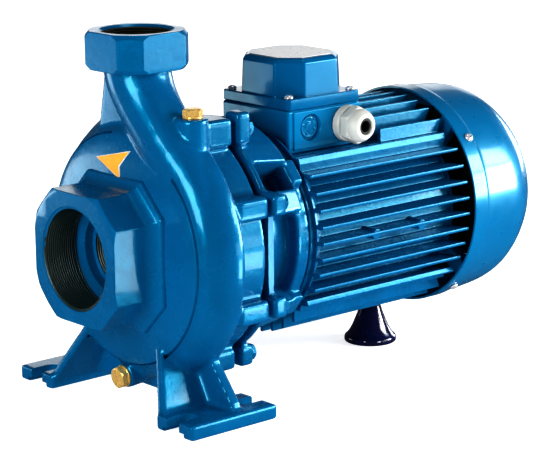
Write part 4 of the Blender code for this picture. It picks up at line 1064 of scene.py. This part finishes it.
def buildGland():
    spot = x, z = box["gland"]
    body = onPanel("glandBody", rounded(gland["body"], 4), spot, 72)
    finish(body, "gland_grey", "gland_body")

    nut = onPanel("glandNut", rounded(gland["nut"], 5), spot, 72)
    start, end = ((x, panelY - out, z) for out in gland["hexY"])
    hexagon = soften(addRod("hexagon", gland["hexR"], start, end, 6), 0.001, 3, 20)
    carve(hexagon, onPanel("hexTurning", gland["hexTurning"], spot, 72), how="INTERSECT")
    carve(nut, hexagon, how="UNION")
    carve(nut, onPanel("bore", gland["bore"], spot, 72))
    finish(nut, "gland_grey", "gland_nut", angle=28)

    seal = onPanel("glandSeal", rounded(gland["seal"], 3), spot, 72)
    finish(seal, "seal_black", "gland_seal")


buildBox()
buildLid()
buildGland()


# Rubber foot: a flared cone on a round flange, as (height, radius)

footLine = [(0, 0), (0, 0.0236), (0.0006, 0.0243), (0.002, 0.0245), (0.0046, 0.0243), (0.0056, 0.0236),
    (0.0066, 0.0222), (0.01, 0.0196), (0.015, 0.017), (0.021, 0.0145), (0.028, 0.0118), (0.0345, 0.0098),
    (0.0358, 0.0092), (0.036, 0.0085), (0.036, 0)]
rubberFoot = spin("rubberFoot", footLine, 96, (motor["footX"], 0, 0), "Z")
finish(rubberFoot, "rubber_black", "rubber_foot", angle=50)
print("box and foot done")


# The nodes of the CAD get the same finishes. The label plate shows as it is

for part in frame["record"]["subparts"]:
    node = frame["nodes"][part["node"]]
    node.data.materials.clear()
    node.data.materials.append(slotFinish[part["material_slot"]])


# Studio: a pale floor, soft lamps and the camera

studio = {
    "floor": 0.85, "floorGlow": 0.55, "sky": 0.05,
    "camera": {"aim": (0.027, 0.0462, 0.1099), "distance": 2.04067, "azimuth": -40.92, "elevation": 13.22,
               "roll": -0.59, "lens": 143.61},
    # name, place, what it points at, width and height, watts
    "lamps": (
        ("rightBox", (1.75, -1.6, 1.06), (0.1, 0, 0.15), (1.3, 0.5), 34),
        ("rightTall", (2.05, -1.45, 0.39), (0.1, 0, 0.15), (0.86, 0.76), 45),
        ("rightFill", (1.05, -1.25, 0.13), (0, 0, 0.15), (1.5, 0.24), 4),
        ("rearBox", (2.2, 0.45, 0.35), (0.3, 0, 0.15), (0.6, 0.7), 9),
        ("rightCard", (0.075, -0.39, 0.045), (-0.17, -0.09, 0.14), (0.13, 0.09), 0.4),
        ("leftBox", (-1.95, -0.5, 0.75), (-0.15, 0, 0.18), (0.9, 1), 30),
        ("leftCard", (-0.57, 0.88, 0.09), (0, 0, 0.2), (0.4, 0.18), 0.8),
        ("backBox", (1.9, 2.2, 0.75), (0, 0, 0.2), (2, 1), 7),
        ("overhead", (0.2, -0.3, 2.4), (0, 0, 0.1), (1.2, 0.6), 5),
    ),
}


def addFloor():
    bpy.ops.mesh.primitive_plane_add(size=24, location=(0, 0, -0.0002))
    floor = bpy.context.object
    floor.name = "floor"
    n = finishNodes("paleFloor")
    pale = (studio["floor"],) * 3
    n.link(n.ramp(n.noise(3, 2), (0.3, tuple(c * 0.985 for c in pale)), (0.7, pale)), "Base Color")
    n.fix({"Roughness": 0.9, "Specular IOR Level": 0.1,
           "Emission Color": (1, 1, 1, 1), "Emission Strength": studio["floorGlow"]})
    floor.data.materials.append(n.mat)
    floor.visible_glossy = False      # keeps its white out of the paint's undersides
    floor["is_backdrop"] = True


def addSky():
    world = bpy.data.worlds.new("studioSky")
    scene.world = world
    world.use_nodes = True
    background = world.node_tree.nodes["Background"]
    background.inputs["Color"].default_value = (1, 1, 1, 1)
    background.inputs["Strength"].default_value = studio["sky"]


def addLamp(name, at, to, size, watts):
    light = bpy.data.lights.new(name, "AREA")
    light.shape = "RECTANGLE"
    light.size, light.size_y = size
    light.energy = watts
    obj = bpy.data.objects.new(name, light)
    scene.collection.objects.link(obj)
    obj.location = at
    obj.rotation_euler = (Vector(to) - Vector(at)).to_track_quat("-Z", "Y").to_euler()


def addCamera():
    look = studio["camera"]
    azimuth, elevation, roll = (math.radians(look[key]) for key in ("azimuth", "elevation", "roll"))
    back = Vector((math.sin(azimuth) * math.cos(elevation), -math.cos(azimuth) * math.cos(elevation),
                   math.sin(elevation)))
    right = Vector((math.cos(azimuth), math.sin(azimuth), 0))
    up = back.cross(right)
    side = right * math.cos(roll) + up * math.sin(roll)
    above = up * math.cos(roll) - right * math.sin(roll)
    camera = bpy.data.objects.new("camera", bpy.data.cameras.new("camera"))
    scene.collection.objects.link(camera)
    turn = Matrix((side, above, back)).transposed().to_4x4()
    camera.matrix_world = Matrix.Translation(Vector(look["aim"]) + back * look["distance"]) @ turn
    camera.data.lens = look["lens"]
    camera.data.clip_end = 40
    scene.camera = camera


addFloor()
addSky()
for lamp in studio["lamps"]:
    addLamp(*lamp)
addCamera()
scene.view_settings.view_transform = "Standard"
scene.view_settings.look = "High Contrast"

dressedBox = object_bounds()
for label, (low, high) in (("cad", cadBox), ("visual", dressedBox)):
    print(label, [round((b - a) * 1000, 1) for a, b in zip(low, high)])
